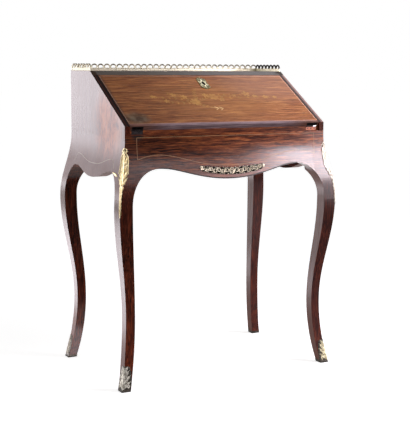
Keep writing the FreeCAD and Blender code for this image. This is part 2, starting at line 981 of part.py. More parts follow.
def fall_pieces(hinge_centres):
    fall_cuts = [cut for centre in hinge_centres.values() for cut in fall_hinge_cuts(centre)]
    return {
        "fall_panel": on_slope(fall_panel(fall_cuts)),
        "writing_leather": on_slope(writing_leather()),
        "lock_case": on_slope(lock_case()),
        "lock_bolt": on_slope(lock_bolt()),
        "lock_screws": on_slope(Part.makeCompound(lock_screws())),
        "escutcheon": on_slope(escutcheon()),
        "escutcheon_pins": on_slope(Part.makeCompound(escutcheon_pins())),
    }


def hinge_pieces(hinge_centres):
    pieces = {}
    for hand, centre in hinge_centres.items():
        pieces[hand + "_hinge_case_leaf"] = case_leaf(centre)
        pieces[hand + "_hinge_fall_leaf"] = on_slope(fall_leaf(centre))
        pieces[hand + "_hinge_pin"] = hinge_pin(centre)
    centres = hinge_centres.values()
    in_rail = [fastener for centre in centres for fastener in case_leaf_screws(centre)]
    in_fall = [fastener for centre in centres for fastener in fall_leaf_screws(centre)]
    pieces["hinge_case_screws"] = Part.makeCompound(in_rail)
    pieces["hinge_fall_screws"] = on_slope(Part.makeCompound(in_fall))
    return pieces


def desk():
    hinge_centres = {"left": hinge_inset - inner_x, "right": inner_x - hinge_inset}
    pieces = leg_pieces()
    pieces.update(case_pieces(hinge_centres))
    pieces.update(compartment_pieces())
    pieces.update(fall_pieces(hinge_centres))
    pieces.update(hinge_pieces(hinge_centres))
    return pieces


os.makedirs("parts", exist_ok=True)
for node, shape in desk().items():
    shape.exportStep(f"parts/{node}.step")
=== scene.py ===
import json
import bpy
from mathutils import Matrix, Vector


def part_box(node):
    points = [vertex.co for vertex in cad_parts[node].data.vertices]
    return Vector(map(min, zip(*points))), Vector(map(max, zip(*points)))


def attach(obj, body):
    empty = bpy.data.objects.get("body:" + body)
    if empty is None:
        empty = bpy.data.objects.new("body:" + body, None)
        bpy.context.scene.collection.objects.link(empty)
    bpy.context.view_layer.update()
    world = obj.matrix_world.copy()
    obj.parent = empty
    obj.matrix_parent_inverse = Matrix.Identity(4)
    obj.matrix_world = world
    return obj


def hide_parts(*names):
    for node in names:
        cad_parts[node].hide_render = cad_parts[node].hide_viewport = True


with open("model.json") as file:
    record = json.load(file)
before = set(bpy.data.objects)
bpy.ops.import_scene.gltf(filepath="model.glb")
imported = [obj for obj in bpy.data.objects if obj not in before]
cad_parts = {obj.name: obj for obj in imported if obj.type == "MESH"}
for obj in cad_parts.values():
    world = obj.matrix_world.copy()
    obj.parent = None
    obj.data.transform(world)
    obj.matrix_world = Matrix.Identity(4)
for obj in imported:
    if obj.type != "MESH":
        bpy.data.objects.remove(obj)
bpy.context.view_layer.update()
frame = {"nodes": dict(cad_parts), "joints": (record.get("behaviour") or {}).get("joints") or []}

from fnmatch import fnmatch
from math import atan2, copysign, cos, hypot, pi, radians, sin, sqrt

import bmesh
import bpy
from mathutils import Vector

# Slant-front desk in rosewood with inlay, bronze mounts and a pierced gallery.
# Ornament is drawn in millimetres on the faces of the desk; Blender's own unit is the metre.
MM = 0.001
nodes = frame["nodes"]
hands = {"left": -1, "right": 1}
both = (-1, 1)


def limit(node, axis, end=1):
    """Upper limit of a node along an axis, or its lower one, in millimetres."""
    return getattr(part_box(node)[end], axis) / MM


def middle_x(node):
    return (limit(node, "x", 0) + limit(node, "x")) / 2


# Planes of the case, read from the frame
half_depth = limit("back_panel", "y")
inner_x = limit("top_board", "x")
post_top = limit("front_left_leg", "z")
fall_half_width = limit("fall_panel", "x")
hinge = next(j for j in frame["joints"] if j["name"] == "fall_hinge")
slope = pi - radians(hinge["range_deg"][1])
fall_thickness = (hinge["pos_m"][1] / MM + half_depth) / sin(slope)
slope_foot_z = hinge["pos_m"][2] / MM + fall_thickness * cos(slope)
fall_length = (limit("fall_panel", "z") - slope_foot_z) / sin(slope)
side_thickness = 16.0
half_width = inner_x + side_thickness

# Curves of the legs and aprons, as in the solids
foot_splay = 21.5
foot_size = 27.5
ankle_height = 210.0
ankle_offset = -2.5
ankle_size = 29.0
knee_height = post_top - 214.0
knee_offset = 29.5
knee_size = 40.7
swell_height = post_top - 9.0
front_arch_span = 91.0
side_arch_span = 61.5
front_peak = half_width + knee_offset - knee_size - front_arch_span
front_peak_z = post_top - 97.0
side_peak = half_depth + knee_offset - knee_size - side_arch_span
side_peak_z = post_top - 107.0
lobe_z = post_top - 134.0
peak_handle = 0.30
lobe_handle = 0.48
corner_radius = 1.5


def eased(share):
    """Half a wave from 0 to 1."""
    return (1 - cos(pi * share)) / 2


def leg_offset(z):
    """How far the outer faces of a leg stand beyond the case at a height."""
    if z > swell_height:
        return 0.0
    if z > knee_height:
        return knee_offset * eased((swell_height - z) / (swell_height - knee_height))
    if z < ankle_height:
        return ankle_offset + (foot_splay - ankle_offset) * (1 - z / ankle_height) ** 2
    share = (z - ankle_height) / (knee_height - ankle_height)
    return ankle_offset + (knee_offset - ankle_offset) * eased(share)


def leg_width(z):
    """Breadth of a leg below its ankle."""
    return ankle_size + (foot_size - ankle_size) * (1 - z / ankle_height) ** 2


# Faces of the desk: each takes two places on the face and a height above it
def on_slope(x, up, out):
    y = -half_depth + up * cos(slope) - out * sin(slope)
    z = slope_foot_z + up * sin(slope) + out * cos(slope)
    return Vector((x, y, z)) * MM


def on_front(x, z, out):
    return Vector((x, -half_depth - leg_offset(z) - out, z)) * MM


def on_side(hand):
    return lambda y, z, out: Vector((hand * (half_width + leg_offset(z) + out), y, z)) * MM


def on_corner(hand_x, hand_y=-1):
    """Outer faces of a leg unrolled about its arris: positive on the front or back, negative on the side."""
    def place(u, z, out):
        reach = leg_offset(z) - corner_radius
        turn = (1 + max(-1.0, min(1.0, u / corner_radius))) * pi / 4
        beyond = max(0.0, abs(u) - corner_radius)
        x = half_width + reach + (corner_radius + out) * cos(turn) - (beyond if u > 0 else 0)
        y = half_depth + reach + (corner_radius + out) * sin(turn) - (beyond if u < 0 else 0)
        return Vector((hand_x * x, hand_y * y, z)) * MM
    return place


# Curves in a face, over a range of 0 to 1
path_step = 0.002


def curve(*controls):
    """Bezier curve."""
    def path(t):
        points = [Vector(c) for c in controls]
        while len(points) > 1:
            points = [a.lerp(b, t) for a, b in zip(points, points[1:])]
        return points[0]
    return path


def ray(angle):
    return Vector((cos(angle), sin(angle)))


def spiral(centre, outer, inner, start, turns):
    """Volute that winds inward from an angle in degrees."""
    return lambda t: Vector(centre) + (outer + (inner - outer) * t) * ray(radians(start + 360 * turns * t))


def oval(centre, half_u, half_v):
    def path(t):
        around = ray(2 * pi * t)
        return Vector((centre[0] + half_u * around.x, centre[1] + half_v * around.y))
    return path


def circle(centre, radius, count):
    """Points round a circle."""
    return [oval(centre, radius, radius)(k / count) for k in range(count)]


def square_to(direction):
    return Vector((-direction.y, direction.x)).normalized()


def across(path, t):
    """Unit vector in the face, square to a path."""
    return square_to(path(min(1.0, t + path_step)) - path(max(0.0, t - path_step)))


def sampled(path, count):
    return [path(i / count) for i in range(count + 1)]


def mirrored(points):
    """The same points on the other hand, in reverse order."""
    return [Vector((-p.x, p.y)) for p in reversed(points)]


def on_hand(hand, u, v):
    return (hand * u, v)


# Solid skins
sink = 0.2
leaf_section = ((-1.0, 0.2), (-0.72, 0.72), (-0.34, 0.78), (-0.1, 0.55), (0.0, 1.0),
                (0.1, 0.55), (0.34, 0.78), (0.72, 0.72), (1.0, 0.2))
leaf_steps = 14
leaf_tip = 0.06
leaf_lean = 0.75
leaf_wave = 0.22
leaf_ends = 0.35


def loft(bm, loops, closed=False):
    """Skin over a row of loops with as many points each."""
    rings = [[bm.verts.new(p) for p in loop] for loop in loops]
    pairs = list(zip(rings, rings[1:]))
    if closed:
        pairs.append((rings[-1], rings[0]))
    for a, b in pairs:
        for i in range(len(a)):
            j = (i + 1) % len(a)
            bm.faces.new((a[i], a[j], b[j], b[i]))
    if not closed:
        bm.faces.new(list(reversed(rings[0])))
        bm.faces.new(rings[-1])


def tube(bm, place, path, start_radius, end_radius, steps, out=0.5, closed=False, sides=8):
    """Round wire laid along a path on a face."""
    loops = []
    for i in range(steps if closed else steps + 1):
        t = i / steps
        side = across(path, t)
        section = circle((0, out), start_radius + (end_radius - start_radius) * t, sides)
        loops.append([place(*(path(t) + side * q.x), q.y) for q in section])
    loft(bm, loops, closed)


def leaf(bm, place, path, width, crown, lobes=0, lift=0.0):
    """Cast leaf with a midrib and cupped blades, whose edge waves in lobes."""
    loops = []
    for i in range(leaf_steps + 1):
        t = i / leaf_steps
        swell = max(leaf_tip, sin(pi * t ** leaf_lean))
        wave = 1 + leaf_wave * cos(2 * pi * lobes * t) if lobes else 1
        side = across(path, t) * width * swell * wave
        height = crown * (leaf_ends + (1 - leaf_ends) * swell) + lift * t * t
        section = [(s, height * h) for s, h in leaf_section] + [(1.0, -sink), (-1.0, -sink)]
        loops.append([place(*(path(t) + side * s), out) for s, out in section])
    loft(bm, loops)


def ring(bm, place, centre, half_u, half_v, wire, steps, out):
    """Closed wire in an oval."""
    tube(bm, place, oval(centre, half_u, half_v), wire, wire, steps, out, closed=True)


def each(make, bm, place, at, table, sides=(1,)):
    """Wires or leaves from rows of control places and the rest of what makes them, on one hand or both."""
    for side in sides:
        for controls, *look in table:
            make(bm, place, curve(*(at(side, *c) for c in controls)), *look)


def bead(bm, place, centre, radius, height, rings=5, sides=12):
    """Rounded boss on a face."""
    turns = [ray(pi / 2 * i / rings) for i in range(rings)]
    levels = [(radius, -sink)] + [(radius * turn.x, height * turn.y) for turn in turns]
    loft(bm, [[place(*p, out) for p in circle(centre, flat, sides)] for flat, out in levels])


def plate(bm, place, outline, rise):
    """Flat piece of veneer with the outline given."""
    loft(bm, [[place(u, v, out) for u, v in outline] for out in (-sink, rise)])


def strip(bm, place, points, width, rise):
    """Narrow band along a row of points on a face."""
    points = [Vector(p) for p in points]
    loops = []
    for before, here, after in zip(points[:1] + points, points, points[1:] + points[-1:]):
        side = square_to(after - before) * width / 2
        corners = ((1, -sink), (1, rise), (-1, rise), (-1, -sink))
        loops.append([place(*(here + side * hand), out) for hand, out in corners])
    loft(bm, loops)


def linked(name, data):
    """New object in the scene."""
    made = bpy.data.objects.new(name, data)
    bpy.context.scene.collection.objects.link(made)
    return made


def mesh_object(name, bm, material):
    mesh = bpy.data.meshes.new(name)
    bm.to_mesh(mesh)
    bm.free()
    mesh.materials.append(material)
    return linked(name, mesh)


def piece(name, bm, material, body, replaced=None, smooth=True):
    """Hang a finished skin on a body of the desk."""
    bmesh.ops.recalc_face_normals(bm, faces=bm.faces)
    for f in bm.faces:
        f.smooth = smooth
    made = mesh_object(name, bm, material)
    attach(made, body)
    if replaced:
        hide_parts(replaced)


# Material nodes
white = (1.0, 1.0, 1.0)


def rgba(colour):
    """Opaque colour from a tone or a grey."""
    return (*colour, 1.0) if isinstance(colour, tuple) else (colour, colour, colour, 1.0)


def is_socket(value):
    return isinstance(value, bpy.types.NodeSocket)


def tree_of(*values):
    """Node tree of the first socket among values."""
    return next(value.id_data for value in values if is_socket(value))


def plug(socket, value):
    if is_socket(value):
        socket.id_data.links.new(value, socket)
    else:
        socket.default_value = value


def set_inputs(node, **values):
    """Plug inputs by their names, whose spaces are written as underscores."""
    for name, value in values.items():
        plug(node.inputs[name.replace("_", " ")], value)


def new_node(tree, kind, **values):
    node = tree.nodes.new(kind)
    set_inputs(node, **values)
    return node


def new_material(name):
    material = bpy.data.materials.new(name)
    material.use_nodes = True
    tree = material.node_tree
    tree.nodes.clear()
    shader = tree.nodes.new("ShaderNodeBsdfPrincipled")
    new_node(tree, "ShaderNodeOutputMaterial", Surface=shader.outputs["BSDF"])
    return material, tree, shader


def calc(operation, *values):
    node = tree_of(*values).nodes.new("ShaderNodeMath")
    node.operation = operation
    for socket, value in zip(node.inputs, values):
        plug(socket, value)
    return node.outputs[0]


def times(a, b):
    return calc("MULTIPLY", a, b)


def summed(parts):
    """Sum of values, each times its share."""
    total = 0.0
    for value, share in parts:
        total = calc("MULTIPLY_ADD", value, share, total)
    return total


def mix(share, a, b, blend="MIX"):
    """Blend of two colours."""
    node = tree_of(share, a, b).nodes.new("ShaderNodeMix")
    node.data_type = "RGBA"
    node.blend_type = blend
    for index, value in ((0, share), (6, a), (7, b)):
        plug(node.inputs[index], rgba(value) if isinstance(value, tuple) else value)
    return node.outputs[2]


def stain(colour, mask, share, tone):
    """Lay a tone over a colour, up to a share of it where the mask is 1."""
    return mix(times(mask, share), colour, tone)


def ramp(value, stops):
    """Colours or greys at places from 0 to 1."""
    node = new_node(value.id_data, "ShaderNodeValToRGB", Fac=value)
    band = node.color_ramp
    while len(band.elements) < len(stops):
        band.elements.new(1.0)
    for element, (position, colour) in zip(band.elements, stops):
        element.position = position
        element.color = rgba(colour)
    return node.outputs[0]


def desk_place(tree):
    """Place in the desk's own frame, in metres."""
    return tree.nodes.new("ShaderNodeTexCoord").outputs["Object"]


def noise(tree, cells, detail=3.0, roughness=0.5, distortion=0.0, offset=(0, 0, 0)):
    """Noise with a number of cells per metre, which may differ along the axes."""
    scale = cells if isinstance(cells, tuple) else (cells, cells, cells)
    spot = new_node(tree, "ShaderNodeMapping", Vector=desk_place(tree), Scale=scale, Location=offset)
    node = new_node(tree, "ShaderNodeTexNoise", Vector=spot.outputs[0], Scale=1.0, Detail=detail,
                    Roughness=roughness, Distortion=distortion)
    return node.outputs[0]


def bump(height, distance, strength, **under):
    tree = height.id_data
    node = new_node(tree, "ShaderNodeBump", Height=height, Distance=distance, Strength=strength, **under)
    return node.outputs[0]


def coordinate(tree, axis):
    """Place along an axis, away from the middle or up the slanted front from its foot, in metres."""
    if axis == "aside":
        return calc("ABSOLUTE", coordinate(tree, "X"))
    if axis != "slope":
        return new_node(tree, "ShaderNodeSeparateXYZ", Vector=desk_place(tree)).outputs[axis]
    upward = Vector((0, cos(slope), sin(slope)))
    dot = tree.nodes.new("ShaderNodeVectorMath")
    dot.operation = "DOT_PRODUCT"
    plug(dot.inputs[0], desk_place(tree))
    plug(dot.inputs[1], upward)
    return calc("SUBTRACT", dot.outputs["Value"], upward.dot(on_slope(0, 0, 0)))


def between(value, start, end):
    """0 up to a start, 1 from an end, smooth between; the start may lie above the end."""
    node = new_node(value.id_data, "ShaderNodeMapRange", Value=value, From_Min=start, From_Max=end)
    node.interpolation_type = "SMOOTHSTEP"
    return node.outputs[0]


def span(tree, axis, ends):
    """Smooth step along an axis."""
    return between(coordinate(tree, axis), *ends)


def blob(tree, axes, centre, reach):
    """1 at a spot given by two places, fading to 0 at the reach along each."""
    aways = []
    for axis, middle, size in zip(axes, centre, reach):
        aways.append(calc("DIVIDE", calc("SUBTRACT", coordinate(tree, axis), middle), size))
    return between(summed([(away, away) for away in aways]), 1.0, 0.0)


# Woods: noise cells per metre along and across the grain, then detail, roughness and distortion
grain_layers = {
    "figure": ((3.0, 50.0), 3.0, 0.55, 0.8),
    "streak": ((11.0, 240.0), 4.0, 0.6, 1.0),
    "fine": ((30.0, 520.0), 3.0, 0.6, 0.0),
    "veins": ((6.0, 120.0), 4.0, 0.6, 1.0),
    "pores": ((70.0, 2300.0), 2.0, 0.5, 0.0),
}
tone_shares = {"figure": 0.12, "streak": 0.54, "fine": 0.34}
tone_range = (0.40, 0.61)
vein_stops = ((0.44, 0.0), (0.475, 1.0), (0.49, 1.0), (0.525, 0.0))
vein_strength = 1.8
vein_shade = 0.25
pore_stops = ((0.58, 0.0), (0.68, 1.0))
pore_share = 0.4
pore_relief = (-0.00003, 0.5)
figure_gloss = 0.12
edge_rounding = 0.0009
edge_samples = 4


def tones(*colours):
    """Wood colours spread over the range that the mixed noises take."""
    first, last = tone_range
    step = (last - first) / (len(colours) - 1)
    return [(first + i * step, colour) for i, colour in enumerate(colours)]


def veneer(tree, grain, stops, vein, offset=(0, 0, 0)):
    """Colour, tone, figure and pores of a veneer with streaks and dark veins along an axis."""
    layers = {}
    for name, (cells, *look) in grain_layers.items():
        layers[name] = noise(tree, tuple(cells[axis != grain] for axis in "XYZ"), *look, offset)
    tone = summed([(layers[name], share) for name, share in tone_shares.items()])
    dark = tuple(c * vein_shade for c in stops[0][1])
    line = ramp(layers["veins"], vein_stops)
    pore = ramp(layers["pores"], pore_stops)
    vein_share = times(layers["streak"], vein * vein_strength)
    colour = stain(ramp(tone, stops), line, vein_share, dark)
    return stain(colour, pore, pore_share, dark), tone, layers["figure"], pore


def wood(name, grain, stops, vein=0.45, gloss=0.28, shine=0.08, offset=(0, 0, 0), marks=None, dull=None):
    """Polished veneer, with marks of its own and places where the polish is dull."""
    material, tree, shader = new_material(name)
    colour, tone, figure, pore = veneer(tree, grain, stops, vein, offset)
    if marks:
        colour = marks(tree, colour, tone)
    rough = calc("MULTIPLY_ADD", figure, figure_gloss, gloss - figure_gloss / 2)
    if dull:
        rough = calc("ADD", rough, dull(tree))
    edges = new_node(tree, "ShaderNodeBevel", Radius=edge_rounding)
    edges.samples = edge_samples
    normal = bump(pore, *pore_relief, Normal=edges.outputs[0])
    set_inputs(shader, Base_Color=colour, Roughness=rough, Specular_IOR_Level=shine, Normal=normal)
    return material


# Colours of the woods
fall_tones = tones((0.11, 0.030, 0.010), (0.22, 0.067, 0.021), (0.31, 0.105, 0.031), (0.40, 0.152, 0.047),
                   (0.50, 0.22, 0.072))
front_tones = tones((0.022, 0.005, 0.003), (0.085, 0.020, 0.009), (0.19, 0.046, 0.017), (0.33, 0.088, 0.027),
                    (0.46, 0.140, 0.042))
leg_tones = tones((0.012, 0.003, 0.002), (0.042, 0.008, 0.004), (0.092, 0.017, 0.007), (0.16, 0.032, 0.012))
side_tones = tones((0.10, 0.033, 0.021), (0.13, 0.044, 0.028), (0.155, 0.053, 0.033), (0.18, 0.064, 0.039))
edge_tones = tones((0.005, 0.003, 0.003), (0.010, 0.006, 0.005), (0.018, 0.010, 0.008))
# Lines across a side's slanted edge from its outer face inward: near black on the left, painted paler on the
# right as a lit copy of the same edge
edge_lines = {
    -1: ((0.0, (0.020, 0.012, 0.010)), (0.25, (0.010, 0.005, 0.004)), (0.45, (0.045, 0.012, 0.008)),
         (0.65, (0.006, 0.003, 0.003)), (1.0, (0.010, 0.005, 0.004))),
    1: ((0.0, (0.34, 0.22, 0.20)), (0.40, (0.22, 0.13, 0.115)), (0.62, (0.055, 0.035, 0.032)),
        (0.85, (0.030, 0.018, 0.016)), (1.0, (0.10, 0.060, 0.050))),
}
band_tones = tones((0.014, 0.008, 0.005), (0.032, 0.019, 0.012), (0.055, 0.034, 0.022))
# Painted sheen: purple-grey tones that stand in for the polish's reflection on the fall's lip
lip_sheen_tones = tones((0.11, 0.070, 0.075), (0.20, 0.135, 0.150), (0.30, 0.205, 0.225))
lip_end_tones = tones((0.055, 0.022, 0.016), (0.13, 0.055, 0.040), (0.20, 0.090, 0.066))
inner_tones = tones((0.22, 0.10, 0.035), (0.36, 0.18, 0.065), (0.46, 0.25, 0.10), (0.55, 0.33, 0.15))
plain_tones = tones((0.16, 0.09, 0.045), (0.25, 0.15, 0.075), (0.33, 0.20, 0.11), (0.40, 0.26, 0.15))

# Stringing of the fall, which also bounds the lip of its veneer that is painted purple as a sheen
string_inset_x = fall_half_width - 2.2
string_low = 12.0
string_high = fall_length - 6.0

# Marks on the fall and frieze: places in metres, and shares and tones laid over the veneer
fall_vein = 0.5
fall_shine = 0.03
# Painted light: the fall's veneer brighter towards the right, as if lit from there
fall_light_ramp = (0.74, 1.14)
fall_glow = (0.03, 0.13), (0.26, 0.13)
golden = 0.22, (0.46, 0.205, 0.048)
# Painted sheen: a pale spot at the fall's upper right
fall_sheen_spot = (0.26, 0.23), (0.24, 0.14)
painted_fall_sheen = 0.35, (0.36, 0.20, 0.14)
border_ends = ((14.0 - fall_half_width) * MM, -fall_half_width * MM)
border = 0.7, (0.060, 0.030, 0.014)
fall_smudge = (-0.286, 0.040), (0.052, 0.040)
smudge_share = 0.75
smudge_tone = (0.052, 0.044, 0.030)
smudge_cells = 60.0
smudge_stops = ((0.38, 0.5), (0.64, 2.4))
lip_ends = (0.55 * fall_half_width * MM, 0.9 * fall_half_width * MM)
front_vein = 0.75
front_offset = (0.4, 0.0, 0.13)
# Painted light: the frieze dark at the left and bright at the right, as if lit from there
front_light_ramp = (0.5, 1.5)
# Painted sheen: a greyish wash on the frieze's lower right
sheen_x = (0.04, 0.26)
sheen_z = (0.715, 0.665)
painted_sheen = 0.65, (0.21, 0.135, 0.14)
# Painted sheen: pinkish along the lower edge of the lobe
edge_sheen_x = (0.20, 0.08)
edge_sheen_z = (0.644, 0.612)
painted_edge_sheen = 0.7, (0.40, 0.215, 0.19)
hinge_stain = (-0.300, 0.742), (0.024, 0.020)
stained = 0.9, (0.016, 0.014, 0.014)


def painted_light_ramp(tree, colour, left, right):
    """Colour whose brightness is painted to change from left to right, as light from the right would make it.
    """
    level = span(tree, "X", (-half_width * MM, half_width * MM))
    return mix(1.0, colour, ramp(level, ((0.0, left), (0.5, 1.0), (1.0, right))), "MULTIPLY")


def fall_light(tree, colour):
    """Fall's veneer: painted brighter to the right as if lit from there, with a painted sheen at the upper
    right, and golden in the middle.
    """
    colour = stain(colour, blob(tree, ("X", "slope"), *fall_glow), *golden)
    colour = stain(colour, blob(tree, ("X", "slope"), *fall_sheen_spot), *painted_fall_sheen)
    return painted_light_ramp(tree, colour, *fall_light_ramp)


def front_light(tree, colour, tone=None):
    """Frieze's veneer: painted dark at the left and bright at the right as if lit from there, with a painted
    sheen at the lower right and along the lobe's lower edge, and a stain under the left hinge.
    """
    colour = painted_light_ramp(tree, colour, *front_light_ramp)
    colour = stain(colour, times(span(tree, "X", sheen_x), span(tree, "Z", sheen_z)), *painted_sheen)
    colour = stain(colour, times(span(tree, "aside", edge_sheen_x), span(tree, "Z", edge_sheen_z)), *painted_edge_sheen)
    return stain(colour, blob(tree, "XZ", *hinge_stain), *stained)


def lip_marks(tree, colour, tone):
    """Fall's lower edge painted purple as a sheen, brown at its ends."""
    return mix(span(tree, "aside", lip_ends), ramp(tone, lip_sheen_tones), ramp(tone, lip_end_tones))


def fall_marks(tree, colour, tone):
    """Dark border at the left, a dull spot at the lower left and a lip below the stringing that is painted
    purple as a sheen.
    """
    colour = stain(fall_light(tree, colour), span(tree, "X", border_ends), *border)
    spots = ramp(noise(tree, smudge_cells), smudge_stops)
    dull = mix(1.0, smudge_tone, spots, "MULTIPLY")
    colour = stain(colour, blob(tree, ("X", "slope"), *fall_smudge), smudge_share, dull)
    lip = calc("LESS_THAN", coordinate(tree, "slope"), string_low * MM)
    return mix(lip, colour, lip_marks(tree, colour, tone))


# Marks on the sides and legs
band_gap = 1.0
leg_rise = (0.56, 0.66)
leg_low = (0.5, 0.1)
leg_glow = ((0.0, 1.0), (1.0, 1.9))
# Painted sheen: the front right leg greyed, as a sheen would make it
leg_sheen_x = (0.1, 0.3)
painted_leg_sheen = 0.25, (0.055, 0.033, 0.035)
side_flame = (-0.085, 0.77), (0.13, 0.13)
flame_noise = ((22.0, 22.0, 12.0), 4.0, 0.6, 0.6)
flame_stops = ((0.36, (0.10, 0.028, 0.018)), (0.50, (0.42, 0.11, 0.055)), (0.62, (0.75, 0.26, 0.13)))
flame_shares = ((0.0, 0.9), (1.0, 0.3))
worn_flame = (-0.075, 0.775), (0.11, 0.11)
worn_below = (0.74, 0.64)
worn_above = (0.56, 0.60)
worn_foot = (0.21, 0.11)
worn_shares = {"low": 0.24, "foot": 0.30, "flame": 0.10}


def edge_marks(hand):
    """Slanted edge of a side: lines along it, near black on the left side and painted paler on the right as a
    lit copy, the top's band at its head and brown below its foot.
    """
    def marks(tree, colour, tone):
        outside = times(coordinate(tree, "X"), hand)
        inside = calc("SUBTRACT", half_width * MM, outside)
        colour = ramp(calc("DIVIDE", inside, side_thickness * MM), edge_lines[hand])
        head = calc("GREATER_THAN", coordinate(tree, "slope"), (fall_length + band_gap) * MM)
        colour = mix(head, colour, ramp(tone, band_tones))
        foot = calc("LESS_THAN", coordinate(tree, "Z"), slope_foot_z * MM)
        return mix(foot, colour, ramp(tone, leg_tones))
    return marks


def leg_marks(tree, colour, tone):
    """Legs paler below and painted greyer at the right as a sheen, whose veneer runs on from the frieze above
    the knees.
    """
    colour = stain(colour, span(tree, "X", leg_sheen_x), *painted_leg_sheen)
    low = ramp(span(tree, "Z", leg_low), leg_glow)
    frieze = front_light(tree, veneer(tree, "X", front_tones, front_vein, front_offset)[0])
    return mix(span(tree, "Z", leg_rise), mix(1.0, colour, low, "MULTIPLY"), frieze)


def side_marks(tree, colour, tone):
    """Flame of orange figure in the middle of a side, stronger on the left one."""
    flame = ramp(noise(tree, *flame_noise), flame_stops)
    share = ramp(span(tree, "X", (-inner_x * MM, inner_x * MM)), flame_shares)
    return stain(colour, blob(tree, "YZ", *side_flame), share, flame)


def side_dullness(tree):
    """Polish worn dull in the flame, towards a side's lower edge and at the feet."""
    worn = {
        "low": times(span(tree, "Z", worn_below), span(tree, "Z", worn_above)),
        "foot": span(tree, "Z", worn_foot),
        "flame": blob(tree, "YZ", *worn_flame),
    }
    return summed([(worn[name], share) for name, share in worn_shares.items()])


fall_wood = wood("fall_rosewood", "X", fall_tones, vein=fall_vein, shine=fall_shine, marks=fall_marks)
front_wood = wood("front_rosewood", "X", front_tones, vein=front_vein, gloss=0.17, shine=0.28,
                  offset=front_offset, marks=front_light)
leg_wood = wood("leg_rosewood", "Z", leg_tones, vein=0.4, gloss=0.2, shine=0.28, marks=leg_marks)
dull_leg_wood = wood("dull_leg_rosewood", "Z", leg_tones, vein=0.4, gloss=0.3, shine=0.05, marks=leg_marks)
side_wood = wood("side_rosewood", "Z", side_tones, vein=0.1, shine=0.28, marks=side_marks, dull=side_dullness)
inside_wood = wood("inside_rosewood", "Y", leg_tones, vein=0.3, gloss=0.6, shine=0.02)
edge_wood = wood("dark_edge", "Y", edge_tones, vein=0.2, gloss=0.45, shine=0.015, marks=edge_marks(-1))
lit_edge_wood = wood("lit_edge", "Y", edge_tones, vein=0.3, gloss=0.4, shine=0.05, marks=edge_marks(1))
lip_wood = wood("fall_lip", "X", lip_sheen_tones, vein=0.3, gloss=0.35, shine=0.08, marks=lip_marks)
top_wood = wood("top_rosewood", "X", front_tones, vein=0.5, shine=0.18)
band_wood = wood("top_band", "X", band_tones, vein=0.3, shine=0.16)
bed_wood = wood("bed_rosewood", "X", front_tones, vein=0.4, offset=(0.0, 0.3, 0.0))
inner_wood = wood("inner_satinwood", "X", inner_tones, vein=0.12, gloss=0.4, shine=0.3)
inner_upright = wood("inner_satinwood_upright", "Y", inner_tones, vein=0.12, gloss=0.4, shine=0.3)
carcase_wood = wood("carcase_oak", "X", plain_tones, vein=0.15, gloss=0.6, shine=0.2)

# Inlays
inlay_grain = ((60.0, 900.0, 900.0), 4.0, 0.6)
inlay_patch = (45.0, 2.0)
inlay_half = 0.5
inlay_range = (0.32, 0.66)
inlay_gloss = (0.15, 0.25)
inlay_shine = 0.16
marquetry_patch = (50.0, 2.0)
marquetry_stops = ((0.35, 0.45), (0.65, 1.0))
marquetry_gloss = 0.28


def inlay(name, light, dark, fade=(1.0, 1.0)):
    """Line of veneer with a faint grain, whose brightness may be painted to change from left to right as if
    lit from the right.
    """
    material, tree, shader = new_material(name)
    grain = noise(tree, *inlay_grain)
    tone = summed([(noise(tree, *inlay_patch), inlay_half), (grain, inlay_half)])
    colour = painted_light_ramp(tree, ramp(tone, tuple(zip(inlay_range, (dark, light)))), *fade)
    rough = calc("MULTIPLY_ADD", grain, *inlay_gloss)
    set_inputs(shader, Base_Color=colour, Roughness=rough, Specular_IOR_Level=inlay_shine)
    return material


def marquetry(name, tint, share):
    """Veneer of the fall stained towards a tint."""
    material, tree, shader = new_material(name)
    colour = fall_light(tree, veneer(tree, "X", fall_tones, fall_vein)[0])
    patch = ramp(noise(tree, *marquetry_patch), marquetry_stops)
    colour = stain(colour, patch, share, tint)
    set_inputs(shader, Base_Color=colour, Roughness=marquetry_gloss, Specular_IOR_Level=fall_shine)
    return material


# The boxwood and the dark line are painted brighter towards the right, as if lit from there
boxwood = inlay("boxwood_line", (0.52, 0.31, 0.23), (0.38, 0.21, 0.15), (0.6, 1.9))
frieze_line = inlay("frieze_line", (0.44, 0.24, 0.12), (0.28, 0.14, 0.065))
dark_line = inlay("dark_line", (0.016, 0.011, 0.010), (0.008, 0.006, 0.006), (1.0, 5.0))
pale_line = inlay("pale_line", (0.48, 0.38, 0.23), (0.33, 0.24, 0.14))
golden_inlay = marquetry("golden_inlay", (0.58, 0.31, 0.075), 0.6)
tan_inlay = marquetry("tan_inlay", (0.50, 0.24, 0.055), 0.6)
green_inlay = marquetry("green_inlay", (0.34, 0.20, 0.045), 0.6)
cream_inlay = marquetry("cream_inlay", (0.86, 0.58, 0.27), 0.95)

